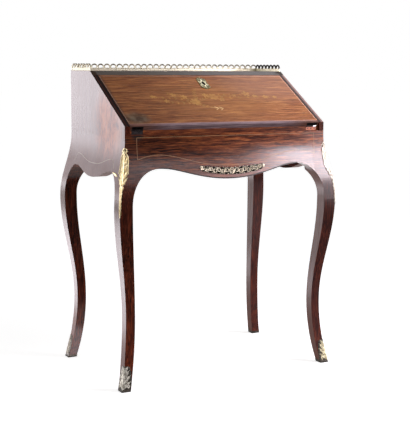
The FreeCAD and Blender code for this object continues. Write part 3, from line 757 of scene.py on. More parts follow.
# Metals: bright and dull tone, roughness, then the tone and reach in metres of the dirt in hollows
metals = {
    "gilt_bronze": ((0.88, 0.77, 0.50), (0.62, 0.47, 0.21), 0.38, (0.055, 0.035, 0.014), 0.005),
    "sheen_lit_gilt": ((0.80, 0.73, 0.64), (0.66, 0.59, 0.50), 0.5, (0.44, 0.37, 0.31), 0.005),
    "shaded_gilt_ground": ((0.36, 0.29, 0.15), (0.17, 0.13, 0.06), 0.45, (0.05, 0.035, 0.015), 0.004),
    "apron_gilt": ((0.98, 0.87, 0.70), (0.74, 0.61, 0.44), 0.4, (0.012, 0.009, 0.007), 0.008),
    "sabot_bronze": ((0.82, 0.79, 0.70), (0.30, 0.27, 0.22), 0.45, (0.02, 0.016, 0.012), 0.006),
    "lit_sabot_gilt": ((0.90, 0.82, 0.58), (0.42, 0.36, 0.22), 0.45, (0.02, 0.016, 0.010), 0.006),
    "shaded_sabot": ((0.24, 0.22, 0.18), (0.06, 0.052, 0.042), 0.5, (0.012, 0.009, 0.006), 0.004),
    "sabot_ground": ((0.085, 0.075, 0.062), (0.022, 0.018, 0.015), 0.5, (0.012, 0.009, 0.006), 0.004),
    "lock_gilt": ((0.97, 0.92, 0.68), (0.72, 0.65, 0.40), 0.4, (0.025, 0.02, 0.01), 0.006),
    "lock_bronze": ((0.50, 0.45, 0.26), (0.15, 0.13, 0.065), 0.45, (0.012, 0.009, 0.005), 0.006),
    "lock_ground": ((0.07, 0.06, 0.035), (0.025, 0.021, 0.012), 0.5, (0.012, 0.009, 0.005), 0.004),
    # Painted shadow: near black, for the gaps of the apron mount and round the keyhole
    "dark_bronze": ((0.010, 0.008, 0.006), (0.005, 0.004, 0.003), 0.6, (0.003, 0.002, 0.002), 0.004),
    "gallery_brass": ((0.46, 0.44, 0.35), (0.32, 0.30, 0.22), 0.52, (0.2, 0.16, 0.1), 0.003),
    "hoop_brass": ((0.20, 0.175, 0.125), (0.08, 0.066, 0.044), 0.45, (0.06, 0.045, 0.025), 0.004),
    "shaded_hoop": ((0.035, 0.028, 0.022), (0.012, 0.010, 0.008), 0.5, (0.012, 0.009, 0.006), 0.004),
    "worn_brass": ((0.70, 0.56, 0.30), (0.45, 0.33, 0.15), 0.34, (0.10, 0.07, 0.03), 0.004),
    "dull_steel": ((0.50, 0.49, 0.48), (0.32, 0.31, 0.30), 0.42, (0.10, 0.09, 0.08), 0.003),
    "tarnished_hinge": ((0.035, 0.03, 0.03), (0.012, 0.010, 0.010), 0.4, (0.01, 0.008, 0.008), 0.003),
    "tooling_gold": ((0.80, 0.60, 0.25), (0.58, 0.40, 0.14), 0.42, (0.30, 0.18, 0.06), 0.002),
}
metals["tarnished_hinge_highlit"] = metals["tarnished_hinge"]
mottle_noise = (180.0, 4.0, 0.6)
mottle_range = (0.35, 0.62)
mottle_gloss = (0.25, -0.12)
grit_noise = (1500.0, 2.0)
grit_relief = (0.00008, 0.5)
hollow_stops = ((0.35, 0.0), (0.85, 1.0))
hollow_samples = 6
strip_light_ramp = (0.95, 2.1)
hoop_drops = (0.003, 0.009)
hoop_foot_light = (0.50, 0.47, 0.36)
tarnish_drops = (0.004, 0.007)
tarnish_tone = (0.17, 0.065, 0.042)
# Painted highlight on the right hinge's case leaf
painted_highlight_inset = (0.008, 0.0025)
painted_highlight_reach = (0.010, 0.004)
painted_highlight_tone = (0.92, 0.92, 0.94)


def strip_marks(tree, colour):
    """Gallery's strip, painted brighter towards the right as if lit from there."""
    return painted_light_ramp(tree, colour, *strip_light_ramp)


def hoop_marks(tree, colour):
    """Hoops dark at the crown and painted pale at the feet, as if lit there."""
    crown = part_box("gallery_back")[1].z
    return mix(span(tree, "Z", [crown - drop for drop in hoop_drops]), colour, hoop_foot_light)


def hinge_marks(tree, colour):
    """Case leaf of the right hinge: brown tarnish below, with one painted highlight."""
    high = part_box("right_hinge_case_leaf")[1]
    colour = mix(span(tree, "Z", [high.z - drop for drop in tarnish_drops]), colour, tarnish_tone)
    spot = (high.x - painted_highlight_inset[0], high.z - painted_highlight_inset[1])
    return mix(blob(tree, "XZ", spot, painted_highlight_reach), colour, painted_highlight_tone)


metal_marks = {"gallery_brass": strip_marks, "hoop_brass": hoop_marks, "tarnished_hinge_highlit": hinge_marks}


def metal(name, bright, dull, rough, dirt, dirt_reach):
    """Cast metal, bright on its crests and dark in its hollows."""
    material, tree, shader = new_material(name)
    mottle = noise(tree, *mottle_noise)
    hollow = new_node(tree, "ShaderNodeAmbientOcclusion", Distance=dirt_reach)
    hollow.samples = hollow_samples
    clean = ramp(hollow.outputs["AO"], hollow_stops)
    colour = mix(clean, dirt, ramp(mottle, tuple(zip(mottle_range, (dull, bright)))))
    if name in metal_marks:
        colour = metal_marks[name](tree, colour)
    change, start = mottle_gloss
    gloss = calc("MULTIPLY_ADD", mottle, change, rough + start)
    normal = bump(noise(tree, *grit_noise), *grit_relief)
    set_inputs(shader, Base_Color=colour, Metallic=1.0, Roughness=gloss, Normal=normal)
    return material


metal_finish = {name: metal(name, *look) for name, look in metals.items()}

# Leather
leather_cells = 900.0
leather_noise = (9.0, 5.0, 0.6)
leather_stops = ((0.3, (0.085, 0.014, 0.010)), (0.55, (0.14, 0.026, 0.016)), (0.75, (0.23, 0.06, 0.035)))
leather_gloss = (0.25, 0.36)
leather_relief = (0.0003, 0.4)
leather_shine = 0.35


def leather_material():
    """Worn red leather with a fine grain of cells."""
    material, tree, shader = new_material("writing_leather")
    cells = new_node(tree, "ShaderNodeTexVoronoi", Vector=desk_place(tree), Scale=leather_cells)
    cells.feature = "DISTANCE_TO_EDGE"
    wear = noise(tree, *leather_noise)
    rough = calc("MULTIPLY_ADD", wear, *leather_gloss)
    normal = bump(cells.outputs["Distance"], *leather_relief)
    set_inputs(shader, Base_Color=ramp(wear, leather_stops), Roughness=rough, Normal=normal,
               Specular_IOR_Level=leather_shine)
    return material


# Finishes of single faces, picked by the way that a face looks
outward = Vector((0, -sin(slope), cos(slope)))
downward = Vector((0, -cos(slope), -sin(slope)))
toward_front = Vector((0, -1, 0))
facing = 0.9
sideways = sqrt(0.5)


def looks(normal, *directions):
    return any(normal.dot(d) > facing for d in directions)


def side_face(edge, hand):
    """Finish of a side's slanted edge, of its inner face and of the rest."""
    def finish(normal):
        if looks(normal, outward, toward_front):
            return edge
        return inside_wood if normal.x * hand < -facing else side_wood
    return finish


def leg_face(front):
    """Finish of a leg's sides and of its front and back."""
    return lambda normal: side_wood if abs(normal.x) > sideways else front


def fall_face(normal):
    if looks(normal, outward):
        return fall_wood
    return lip_wood if looks(normal, downward) else bed_wood


def top_face(normal):
    return band_wood if looks(normal, outward) else top_wood


face_finishes = {
    "left_side": side_face(edge_wood, -1),
    "right_side": side_face(lit_edge_wood, 1),
    "fall_panel": fall_face,
    "top_board": top_face,
    "front_left_leg": leg_face(leg_wood),
    "front_right_leg": leg_face(leg_wood),
    "back_left_leg": leg_face(leg_wood),
    "back_right_leg": leg_face(dull_leg_wood),
}

# Finishes of nodes whose faces are all alike: the first pattern that a name fits
finishes = (
    (front_wood, ("front_apron",)),
    (top_wood, ("fall_stop_rail",)),
    (carcase_wood, ("back_panel", "bottom_board", "well_runners")),
    (bed_wood, ("bed_*", "well_lid*", "*_front")),
    (inner_upright, ("drawer_partition*", "pigeonhole*")),
    (inner_wood, ("compartment*", "*_box")),
    (leather_material(), ("writing_leather",)),
    (metal_finish["tarnished_hinge_highlit"], ("right_hinge_case_leaf",)),
    (metal_finish["tarnished_hinge"], ("left_hinge*", "right_hinge*", "hinge*")),
    (metal_finish["dull_steel"], ("*_pin", "*screws", "lock_bolt")),
    (metal_finish["worn_brass"], ("*",)),
)


def finish_for(node):
    return next(material for material, patterns in finishes if any(fnmatch(node, p) for p in patterns))


def dress(name, solid):
    """Give each face of a node its material."""
    mesh = solid.data
    mesh.materials.clear()
    if name not in face_finishes:
        mesh.materials.append(finish_for(name))
        return
    slots = {}
    for polygon in mesh.polygons:
        material = face_finishes[name](polygon.normal)
        if material not in slots:
            slots[material] = len(slots)
            mesh.materials.append(material)
        polygon.material_index = slots[material]


for name, solid in nodes.items():
    dress(name, solid)

# Stringing: lines let into the veneer
string_width = 1.3
string_rise = 0.12
edge_line_width = 3.2
edge_line_lift = 2.0
front_string_top = 737.0
front_string_x = 303.0
front_margin = 39.5
front_corner_drop = 12.0
side_margin = 41.0
side_margin_loss = 6.0
side_tail = ((12.0, 12.5), (18.5, 25.0))
drawer_margin = 7.0
drawer_line_width = 1.2
curve_steps = 24


def inlaid(name, bm, material, body="fall"):
    """Veneer let into the wood."""
    piece(name, bm, material, body, smooth=False)


def lines(bm, place, rows, width, rise):
    for points in rows:
        strip(bm, place, points, width, rise)


def stringing(name, material, body, place, rows, width=string_width):
    """Lines along rows of points on a face."""
    bm = bmesh.new()
    lines(bm, place, rows, width, string_rise)
    inlaid(name, bm, material, body)


def rectangle(left, right, low, high):
    """Rows of points for the four sides of a rectangle."""
    levels = [[(left, level), (right, level)] for level in (low, high)]
    return levels + [[(at, low), (at, high)] for at in (left, right)]


def apron_line(peak, peak_z, lift, loss=0.0):
    """Line above an apron's lower edge, from the peak of one arch over the lobe to the other."""
    bend = (-peak * (1 - peak_handle), peak_z)
    left = sampled(curve((-peak, peak_z), bend, (-peak * lobe_handle, lobe_z), (0, lobe_z)), curve_steps)
    return [Vector((p.x, p.y + lift - loss * abs(p.x) / peak)) for p in left + mirrored(left[:-1])]


def frieze_frame():
    """Frame on the frieze whose lower line follows the apron's edge."""
    raised = apron_line(front_peak, front_peak_z, front_margin)
    first = raised[0]
    corner = Vector((-front_string_x, first.y - front_corner_drop))
    left = sampled(curve(corner, ((first.x + corner.x) / 2, first.y), first), curve_steps // 2)
    top = [(hand * front_string_x, front_string_top) for hand in both]
    uprights = [sampled(curve((x, corner.y), (x, z)), curve_steps) for x, z in top]
    return [left[:-1] + raised + mirrored(left)[1:], top, *uprights]


def side_line():
    """Line that follows a side's lower edge and turns down beside the legs."""
    raised = apron_line(side_peak, side_peak_z, side_margin, side_margin_loss)
    tail = [raised[-1] + Vector((ahead, -down)) for ahead, down in side_tail]
    return mirrored(tail) + raised + tail


def drawer_stringing(drawer):
    low, high = (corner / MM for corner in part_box(f"{drawer}_front"))
    inset = Vector((drawer_margin, 0, drawer_margin))
    (left, _, foot), (right, _, head) = low + inset, high - inset
    stringing(f"{drawer}_stringing", boxwood, drawer, lambda x, z, out: Vector((x, low.y - out, z)) * MM,
              rectangle(left, right, foot, head), drawer_line_width)


apron_edge = apron_line(front_peak, front_peak_z, edge_line_lift)
fall_frame = rectangle(-string_inset_x, string_inset_x, string_low, string_high)
stringing("front_stringing", frieze_line, "case", on_front, frieze_frame())
stringing("front_edge_line", dark_line, "case", on_front, [apron_edge], edge_line_width)
for side_name, hand in hands.items():
    stringing(f"{side_name}_side_stringing", pale_line, "case", on_side(hand), [side_line()])
stringing("fall_stringing", boxwood, "fall", on_slope, fall_frame)

# Marquetry: a loose spray of flowers and leaves across the fall
spray_stems = (
    ((-58, 122), (-95, 150), (-140, 140), (-190, 152)),
    ((-58, 122), (-100, 112), (-140, 122), (-182, 128)),
    ((-58, 122), (-40, 130), (-10, 145), (15, 152)),
    ((15, 152), (60, 165), (100, 155), (145, 164)),
    ((15, 152), (70, 135), (140, 152), (236, 145)),
    ((-58, 122), (-45, 100), (-20, 90), (22, 84)),
    ((-45, 130), (-50, 150), (-40, 180), (-28, 198)),
    ((-85, 145), (-100, 165), (-118, 162), (-134, 171)),
)
# Flowers: place, petals, and their length and breadth
spray_flowers = (
    ((-58, 122), 7, 19, 6.5), ((17, 150), 7, 18, 6.5), ((-8, 158), 5, 12, 4.5), ((38, 134), 5, 11, 4.5),
    ((-190, 152), 5, 9, 3.5), ((-118, 162), 5, 10, 4.0), ((-152, 128), 5, 10, 4.0), ((-85, 150), 5, 11, 4.5),
    ((91, 156), 5, 8, 3.5), ((138, 165), 5, 15, 5.5), ((165, 152), 5, 9, 4.0), ((201, 147), 5, 11, 4.5),
    ((236, 145), 5, 8, 3.5),
)
stem_width = 1.3
stem_rise = 0.05
spray_rise = 0.1
leaf_length = 13.5
leaf_length_loss = 0.45
leaf_breadth = 2.8
leaf_breadth_loss = 0.4
leaf_first_size = 1.1
leaf_angle = (0.75, 0.65)
leaf_points = 10
leaf_taper = 0.3
leaves_per_stem = 6
stem_end = 0.6
petal_points = 12
petal_waist = 0.45
petal_turn = 0.25
petal_rise = 0.12
petal_step = 0.004
heart_share = 0.2
heart_points = 14
heart_rise = 0.18
sprig_foot = (-21, 91)
sprig_tips = ((6, 86.5), (21, 84.5))
sprig_spread = radians(36)
sprig_leaf = 17.0
sprig_breadth = 1.9
sprig_rise = 0.13


def turned(start, angle, places):
    """Places along and across a direction, moved to a start."""
    return [Vector(start) + ray(angle) * u + square_to(ray(angle)) * v for u, v in places]


def petal_outline(centre, angle, length, breadth):
    """Closed petal that starts at a point and swells towards its end."""
    places = []
    for i in range(petal_points):
        reach = eased(2 * i / petal_points)
        spread = sin(2 * pi * i / petal_points) * (petal_waist + (1 - petal_waist) * reach)
        places.append((length * reach, breadth * spread))
    return turned(centre, angle, places)


def leaf_outline(start, angle, length, breadth):
    """Pointed lens."""
    shares = [i / leaf_points for i in range(leaf_points + 1)]
    upper = [(t * length, breadth * sin(pi * t) * (1 - leaf_taper * t)) for t in shares]
    return turned(start, angle, upper + [(u, -v) for u, v in reversed(upper[1:-1])])


def spray_leaves():
    """Leaves in pairs along each stem, by turns of two shades."""
    shades = (bmesh.new(), bmesh.new())
    for number, controls in enumerate(spray_stems):
        path = curve(*controls)
        for i in range(leaves_per_stem):
            t = (i + 1) / (leaves_per_stem + stem_end)
            side = across(path, t)
            along = Vector((side.y, -side.x))
            length = leaf_length * (leaf_first_size - leaf_length_loss * t)
            breadth = leaf_breadth * (leaf_first_size - leaf_breadth_loss * t)
            for hand in both:
                lean = along * leaf_angle[0] + side * hand * leaf_angle[1]
                outline = leaf_outline(path(t), atan2(lean.y, lean.x), length, breadth)
                plate(shades[(i + number) % 2], on_slope, outline, spray_rise)
    inlaid("marquetry_green_leaves", shades[0], green_inlay)
    inlaid("marquetry_tan_leaves", shades[1], tan_inlay)


def spray_stem_lines():
    bm = bmesh.new()
    lines(bm, on_slope, [sampled(curve(*stem), curve_steps) for stem in spray_stems], stem_width, stem_rise)
    inlaid("marquetry_stems", bm, tan_inlay)


def spray_blossoms():
    """Flowers of golden petals, each a little above the last, round a tan heart."""
    petals = bmesh.new()
    hearts = bmesh.new()
    for centre, count, length, breadth in spray_flowers:
        for k in range(count):
            outline = petal_outline(centre, 2 * pi * (k + petal_turn) / count, length, breadth)
            plate(petals, on_slope, outline, petal_rise + petal_step * k)
        plate(hearts, on_slope, circle(centre, length * heart_share, heart_points), heart_rise)
    inlaid("marquetry_petals", petals, golden_inlay)
    inlaid("marquetry_hearts", hearts, tan_inlay)


def spray_tip():
    """Pale sprig of narrow leaves at the end of the lowest stem."""
    bm = bmesh.new()
    for tip in sprig_tips:
        for hand in both:
            outline = leaf_outline(tip, pi + hand * sprig_spread, sprig_leaf, sprig_breadth)
            plate(bm, on_slope, outline, sprig_rise)
    strip(bm, on_slope, [sprig_foot, sprig_tips[-1]], stem_width, sprig_rise)
    inlaid("marquetry_pale_sprig", bm, cream_inlay)


spray_leaves()
spray_stem_lines()
spray_blossoms()
spray_tip()

# Gold tooling round the leather: margin and width of each line
tooling_lines = ((9.0, 2.2), (13.5, 0.7))
tooling_rise = 0.05
leather_recess = 0.2


def on_leather(x, up, out):
    return on_slope(x, up, leather_recess - fall_thickness - out)


def leather_tooling():
    bm = bmesh.new()
    low, high = (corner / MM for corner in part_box("writing_leather"))
    start = (low.z - slope_foot_z + fall_thickness * cos(slope)) / sin(slope)
    end = start + hypot(high.y - low.y, high.z - low.z)
    for margin, width in tooling_lines:
        rows = rectangle(margin - high.x, high.x - margin, start + margin, end - margin)
        lines(bm, on_leather, rows, width, tooling_rise)
    piece("leather_tooling", bm, metal_finish["tooling_gold"], "fall", smooth=False)


leather_tooling()
for drawer in ("drawer_1", "drawer_2", "drawer_3"):
    drawer_stringing(drawer)


def cast(name, bm, metal_name, node=None, body="case"):
    """Casting, which may take the place of a plain solid."""
    piece(name, bm, metal_finish[metal_name], body, node)


# Bronze mount on the apron's lobe: a chain of scrolls and leaves over a black ground, painted as the shadow
# in the gaps between them
# Wires: control places, start and end radius, steps and height. Leaves: places, width, crown, lobes and lift.
mount_half = (limit("apron_mount", "x") - limit("apron_mount", "x", 0)) / 2
mount_middle = middle_x("apron_mount")
mount_low = (lobe_z + 12.0, lobe_z + 27.0)
mount_high = (lobe_z + 34.5, lobe_z + 42.0)
mount_ground_share = 0.92
mount_ground_rise = 0.5
mount_ground_steps = 32
rosette_x = -4.0
rosette_rings = ((0.72, 1.0), (0.38, 0.8))
rosette_wire = (28, 1.2)
rosette_boss = (1.3, 2.6)
rosette_leaves = 10
rosette_leaf = (0.78, 0.9, 1.04)
rosette_leaf_size = (1.2, 2.0)
scroll_first = 17.5
scroll_pitch = 13.4
scroll_count = 7
scroll_eye = (0, -0.1)
scroll_shares = (0.66, 0.3)
scroll_turns = 1.2
scroll_wire = (0.95, 0.7, 30, 1.1)
scroll_boss = (0.9, 2.0)
scroll_leaves = (
    (((2.5, -1.0), (8.5, -0.7), (4.5, 0.5), (9.5, 1.0)), 1.0, 2.6, 3, 0.4),
    (((-6.0, 0.55), (-3.5, 1.0), (1.5, 0.92)), 1.0, 2.4, 2, 0.6),
    (((-5.5, -0.6), (-5.0, -1.0), (-1.5, -1.0)), 0.9, 2.2, 0, 0.5),
)
fan_start = scroll_first + scroll_pitch * (scroll_count - 0.6)
fan_bend = fan_start + 6.0
fan_bend_share = 0.9
fan_leaves = ((0.85, 0.96), (0.2, 1.0), (-0.6, 0.97))
fan_leaf_size = (2.6, 2.6, 3, 0.4)


def mount_band(u):
    """Middle height and half height of the band at a place along it."""
    share = (u / mount_half) ** 2
    low = mount_low[0] + (mount_low[1] - mount_low[0]) * share
    high = mount_high[0] + (mount_high[1] - mount_high[0]) * share
    return (low + high) / 2, (high - low) / 2


def on_mount(u, z, out):
    return on_front(mount_middle + u, z, out)


def in_mount(u, v):
    """Place in the band: v runs from -1 at its lower edge to 1 at its upper edge."""
    middle, half = mount_band(u)
    return Vector((u, middle + half * v))


def mount_ground():
    bm = bmesh.new()
    edge, rise = mount_ground_share, mount_ground_rise
    section = ((-edge, -sink), (-edge, rise), (0, rise), (edge, rise), (edge, -sink), (0, -sink))
    loops = []
    for i in range(mount_ground_steps + 1):
        u = mount_half * edge * (2 * i / mount_ground_steps - 1)
        loops.append([on_mount(*in_mount(u, v), out) for v, out in section])
    loft(bm, loops)
    cast("apron_mount_ground", bm, "dark_bronze", "apron_mount")


def mount_rosette(bm):
    """Two rings and a boss in a wreath of small leaves."""
    middle, half = mount_band(0)
    centre = Vector((rosette_x, middle))
    for share, wire in rosette_rings:
        ring(bm, on_mount, centre, half * share, half * share, wire, *rosette_wire)
    bead(bm, on_mount, centre, *rosette_boss)
    for k in range(rosette_leaves):
        outer = ray(2 * pi * (k + 0.5) / rosette_leaves) * half
        leaf(bm, on_mount, curve(*(centre + outer * share for share in rosette_leaf)), *rosette_leaf_size)


def mount_scroll(bm, u, turn, hand):
    """One link of the chain: a wound scroll, a leaf that crosses to the next one and two small leaves."""
    def at(side, along, v):
        return in_mount(side * (u + along), turn * v)

    centre = at(hand, *scroll_eye)
    outer, inner = (mount_band(u)[1] * share for share in scroll_shares)
    wind = spiral(centre, outer, inner, 90 - 90 * hand, -turn * hand * scroll_turns)
    tube(bm, on_mount, wind, *scroll_wire)
    bead(bm, on_mount, centre, *scroll_boss)
    each(leaf, bm, on_mount, at, scroll_leaves, [hand])


def mount_end(bm, hand):
    """Fan of leaves that closes the band."""
    for v, reach in fan_leaves:
        bend = in_mount(hand * fan_bend, v * fan_bend_share)
        tip = in_mount(hand * mount_half * reach, v)
        leaf(bm, on_mount, curve(in_mount(hand * fan_start, 0), bend, tip), *fan_leaf_size)


def apron_scrolls():
    bm = bmesh.new()
    mount_rosette(bm)
    for hand in both:
        for k in range(scroll_count):
            mount_scroll(bm, scroll_first + hand * rosette_x + k * scroll_pitch, 1 if k % 2 else -1, hand)
        mount_end(bm, hand)
    cast("apron_mount_scrolls", bm, "apron_gilt", "apron_mount")


mount_ground()
apron_scrolls()

# Bronze mounts on the front knees: an eye, openwork leaves and a long stem down the arris
# Places are given across a face and as drops from the top of the post.
corner_sides = (1.0, -1.3)
corner_eye = 42.5
corner_ring = (5.6, 6.2, 1.8, 26, 1.4)
corner_boss = (2.2, 3.4)
corner_waist = 140.0
corner_foot = 230.0
corner_stem = (
    (((0, corner_eye), (0, corner_waist)), 1.4, 2.6, 24, 0.8),
    (((0, corner_waist), (0, corner_foot)), 2.6, 1.2, 30, 0.7),
)
corner_crest = ((((0, 38.5), (0, 35.5), (0, 34.0)), 3.4, 2.6),)
corner_rail = ((2, 49), (17, 55), (12, 78), (14, 92), (17, 108))
corner_strand = ((1, 56), (15, 68), (-2, 84), (11, 104))
corner_wires = ((corner_rail, 1.5, 1.3, 34, 1.0), (corner_strand, 1.2, 1.0, 30, 1.2))
corner_blades = ((145.0, 117.0, 18.0), (125.0, 98.0, 15.5), (104.0, 78.0, 14.5), (84.0, 60.0, 12.5))
blade_root = 1.2
blade_bend = 0.4
blade_look = (3.1, 2.8, 3, 0.9)
corner_leaves = [
    (((3, 47), (9, 41), (11, 47)), 2.4, 2.6, 0, 0.8),
    (((1.5, 122), (9, 128), (10.5, 138)), 3.0, 2.8, 2, 0.9),
    (((1, 134), (6, 146), (3, 160)), 2.8, 2.6, 2, 0.6),
]
for foot, tip, spread in corner_blades:
    bend = (spread * blade_bend, (foot + 2 * tip) / 3)
    corner_leaves.append((((blade_root, foot), bend, (spread, tip)), *blade_look))
husk_drops = (162.0, 173.0, 184.0, 194.0, 203.0, 212.0, 220.0)
husk_half = 7.0
husk_root = 0.6
husk_bend = 4.6
husk_tip = 2.4
husk_width = 2.4
husk_crown = 2.2
husk_fade = (1.6, 240.0)
corner_husks = []
for drop in husk_drops:
    fade = husk_fade[0] - drop / husk_fade[1]
    husk = ((husk_root, drop - husk_half), (husk_bend * fade, drop), (husk_tip * fade, drop + husk_half))
    corner_husks.append((husk, husk_width * fade, husk_crown))
corner_ground_steps = 14
corner_ground_points = 12
corner_ground_rise = 0.5
corner_ground_taper = (0.35, 0.65, 0.9)
# Painted light: the left mount's ground is a darker copy of the gilt painted as its shade; the right mount is
# a pale copy painted as washed out by sheen
corner_metals = {"left": ("gilt_bronze", "shaded_gilt_ground"), "right": ("sheen_lit_gilt", "sheen_lit_gilt")}


def corner_at(side, u, drop):
    return Vector((side * u, post_top - drop))


def corner_ground(place):
    """Plate between the two rails, tapering to the waist."""
    bm = bmesh.new()
    rails = []
    for side in corner_sides:
        rail = curve(*(corner_at(side, *c) for c in corner_rail))
        rails.append(sampled(rail, corner_ground_steps)[1:])
    spans = list(zip(*rails))
    waist = corner_at(1, 0, corner_waist)
    spans += [[end.lerp(waist, t) for end in spans[-1]] for t in corner_ground_taper]
    loops = []
    for front, beside in spans:
        row = sampled(curve(beside, front), corner_ground_points)
        loops.append([place(*q, corner_ground_rise) for q in row] + [place(*q, -sink) for q in reversed(row)])
    loft(bm, loops)
    return bm


def corner_acanthus(place):
    """Stem with an eye at its head, and leaves on both faces of the corner."""
    bm = bmesh.new()
    eye = corner_at(1, 0, corner_eye)
    ring(bm, place, eye, *corner_ring)
    bead(bm, place, eye, *corner_boss)
    each(tube, bm, place, corner_at, corner_stem)
    each(tube, bm, place, corner_at, corner_wires, corner_sides)
    each(leaf, bm, place, corner_at, corner_crest)
    each(leaf, bm, place, corner_at, corner_leaves, corner_sides)
    each(leaf, bm, place, corner_at, corner_husks, both)
    return bm


# Small leaf on the lower edge of a side, beside the front leg
edge_leaf_foot = Vector((16.0 - half_depth, lobe_z + 17.0))
edge_leaf_path = ((0, 0), (12, 4), (30, 8), (40, 9))
edge_leaf_look = (2.8, 2.6, 4, 0.4)


def edge_leaf(hand):
    bm = bmesh.new()
    leaf(bm, on_side(hand), curve(*(edge_leaf_foot + Vector(c) for c in edge_leaf_path)), *edge_leaf_look)
    return bm


for side_name, hand in hands.items():
    bright, under = corner_metals[side_name]
    node = f"front_{side_name}_corner_mount"
    cast(f"{side_name}_corner_acanthus", corner_acanthus(on_corner(hand)), bright, node)
    cast(f"{side_name}_corner_ground", corner_ground(on_corner(hand)), under, node)
    cast(f"{side_name}_edge_leaf", edge_leaf(hand), "gilt_bronze")

# Sabots: leaf-cast shoes that climb the outer corner of each foot
sabot_height = limit("front_left_sabot", "z")
sabot_side_height = 24.0
sabot_band = 8.0
sabot_shell = 0.8
sabot_shoulder = 0.3
sabot_trim = 0.96
sabot_steps = 12
sabot_outer_points = 14
sabot_inner_points = 4
sabot_corner = 8.0
roll_height = 4.6
roll_radius = 2.6
roll_out = -1.3
roll_steps = 48
sabot_spine = ((((0, roll_height), (0, sabot_height / 2), (0, sabot_height)), 5.4, 3.2, 5),)
sabot_blades = ((8.0, 30.0, 0.92), (16.0, 48.0, 0.84), (30.0, 63.0, 0.62), (45.0, 74.0, 0.38))
sabot_blade_root = 2.2
sabot_blade_bend = (0.45, 0.75)
sabot_blade_end = 0.97
sabot_blade_look = (4.3, 3.2, 3, 0.8)
sabot_acanthus = []
for foot, tip, share in sabot_blades:
    reach = share * foot_size
    bend = (reach * sabot_blade_bend[0], foot + (tip - foot) * sabot_blade_bend[1])
    blade = ((sabot_blade_root, foot), bend, (reach, tip * sabot_blade_end))
    sabot_acanthus.append((blade, *sabot_blade_look))
curl_place = (foot_size * 0.62, roll_height * 3.4)
curl_radii = (4.6, 1.3)
curl_start = 270
curl_turns = 1.3
curl_wire = (1.4, 1.0, 24, 1.2)
# Painted light: the front right shoe takes a brighter copy of the bronze as if lit, the back left one a
# darker copy as if in shade
sabot_metals = {"front_right_sabot": "lit_sabot_gilt", "back_left_sabot": "shaded_sabot"}


def sabot_spots():
    """Places round a foot, as shares of its breadth inward from the outer corner."""
    outer = [i / sabot_outer_points for i in range(sabot_outer_points)]
    inner = [i / sabot_inner_points for i in range(sabot_inner_points)]
    spots = [(1 - share, 0) for share in outer] + [(0, share) for share in outer]
    return spots + [(share, 1) for share in inner] + [(1, 1 - share) for share in inner]


def sabot_rim(a, b):
    """Height of the shoe's upper edge: a band inside, level at the corner, then falling in a round."""
    if b > 0 and a + b >= 1:
        return sabot_band
    beyond = max(0.0, (a + b - sabot_shoulder) / (1 - sabot_shoulder))
    return (sabot_side_height + (sabot_height - sabot_side_height) * (1 - beyond ** 3)) * sabot_trim


def sabot_point(hand_x, hand_y, a, b, z, out):
    """Point of the shell, which stands out from every face of the foot."""
    out_x = -out if a == 1 and b > 0 else out * max(0.0, 1 - sabot_corner * a)
    out_y = -out if b == 1 else out * max(0.0, 1 - sabot_corner * b)
    x = half_width + leg_offset(z) - a * leg_width(z) + out_x
    y = half_depth + leg_offset(z) - b * leg_width(z) + out_y
    return Vector((hand_x * x, hand_y * y, z)) * MM


def sabot_ground(name, hand_x, hand_y):
    """Thin dark shell that hugs the foot under the leaves, with a round roll at the floor."""
    bm = bmesh.new()
    levels = [(i / sabot_steps, sabot_shell) for i in range(sabot_steps + 1)] + [(1.0, -sink), (0.0, -sink)]
    loops = []
    for rise, out in levels:
        loops.append([sabot_point(hand_x, hand_y, *p, rise * sabot_rim(*p), out) for p in sabot_spots()])
    loft(bm, loops, closed=True)
    roll = curve((-foot_size, roll_height), (foot_size, roll_height))
    tube(bm, on_corner(hand_x, hand_y), roll, roll_radius, roll_radius, roll_steps, roll_out)
    cast(f"{name}_ground", bm, "sabot_ground", name)


def sabot_leaves(name, hand_x, hand_y):
    """Acanthus up the outer corner, with blades and a curl on both faces."""
    bm = bmesh.new()
    place = on_corner(hand_x, hand_y)
    each(leaf, bm, place, on_hand, sabot_spine)
    each(leaf, bm, place, on_hand, sabot_acanthus, both)
    for face in both:
        curl = spiral(on_hand(face, *curl_place), *curl_radii, curl_start, face * curl_turns)
        tube(bm, place, curl, *curl_wire)
    cast(f"{name}_cast_leaves", bm, sabot_metals.get(name, "sabot_bronze"), name)


for depth_name, hand_y in (("front", -1), ("back", 1)):
    for side_name, hand_x in hands.items():
        sabot = f"{depth_name}_{side_name}_sabot"
        sabot_ground(sabot, hand_x, hand_y)
        sabot_leaves(sabot, hand_x, hand_y)

# Escutcheon: a small cartouche of scrolls and leaves round the keyhole
keyhole_x = middle_x("escutcheon")
keyhole_up = fall_length - 48.0
lock_breadth = 0.96
lock_centre = (0, -2.0)
lock_plates = {
    "escutcheon_ground": ((7.0, 12.0), (12.0, 26.0), 0.4, "lock_ground"),
    "escutcheon_keyhole": ((1.6, 4.4), (8.0, 13.0), 0.5, "dark_bronze"),
}
lock_steps = 28
lock_ring = (8.0, 13.2, 1.8, lock_steps, 1.0)
ring_side_leaves = (
    (((9, 2), (13, 7), (9, 16)), 3.0, 2.4, 2, 0.6),
    (((9, -6), (13, -11), (9, -20)), 3.0, 2.4, 2, 0.6),
)
ring_leaves = (
    (((0, 11), (0, 18), (0, 27)), 3.4, 2.8, 3, 0.6),
    (((0, -15), (0, -22), (0, -30)), 3.2, 2.6, 3, 0.5),
)
volutes = (((9.5, 19.0), 1), ((9.5, -22.0), -1))
volute_radii = (5.2, 1.2)
volute_turns = 1.35
volute_wire = (1.5, 1.0, 26, 1.2)
volute_boss = (1.6, 2.6)
cartouche_rims = ((((14, 17), (17, 5), (9, -2), (17, -9), (14, -20)), 1.2, 1.2, 22, 1.0),)
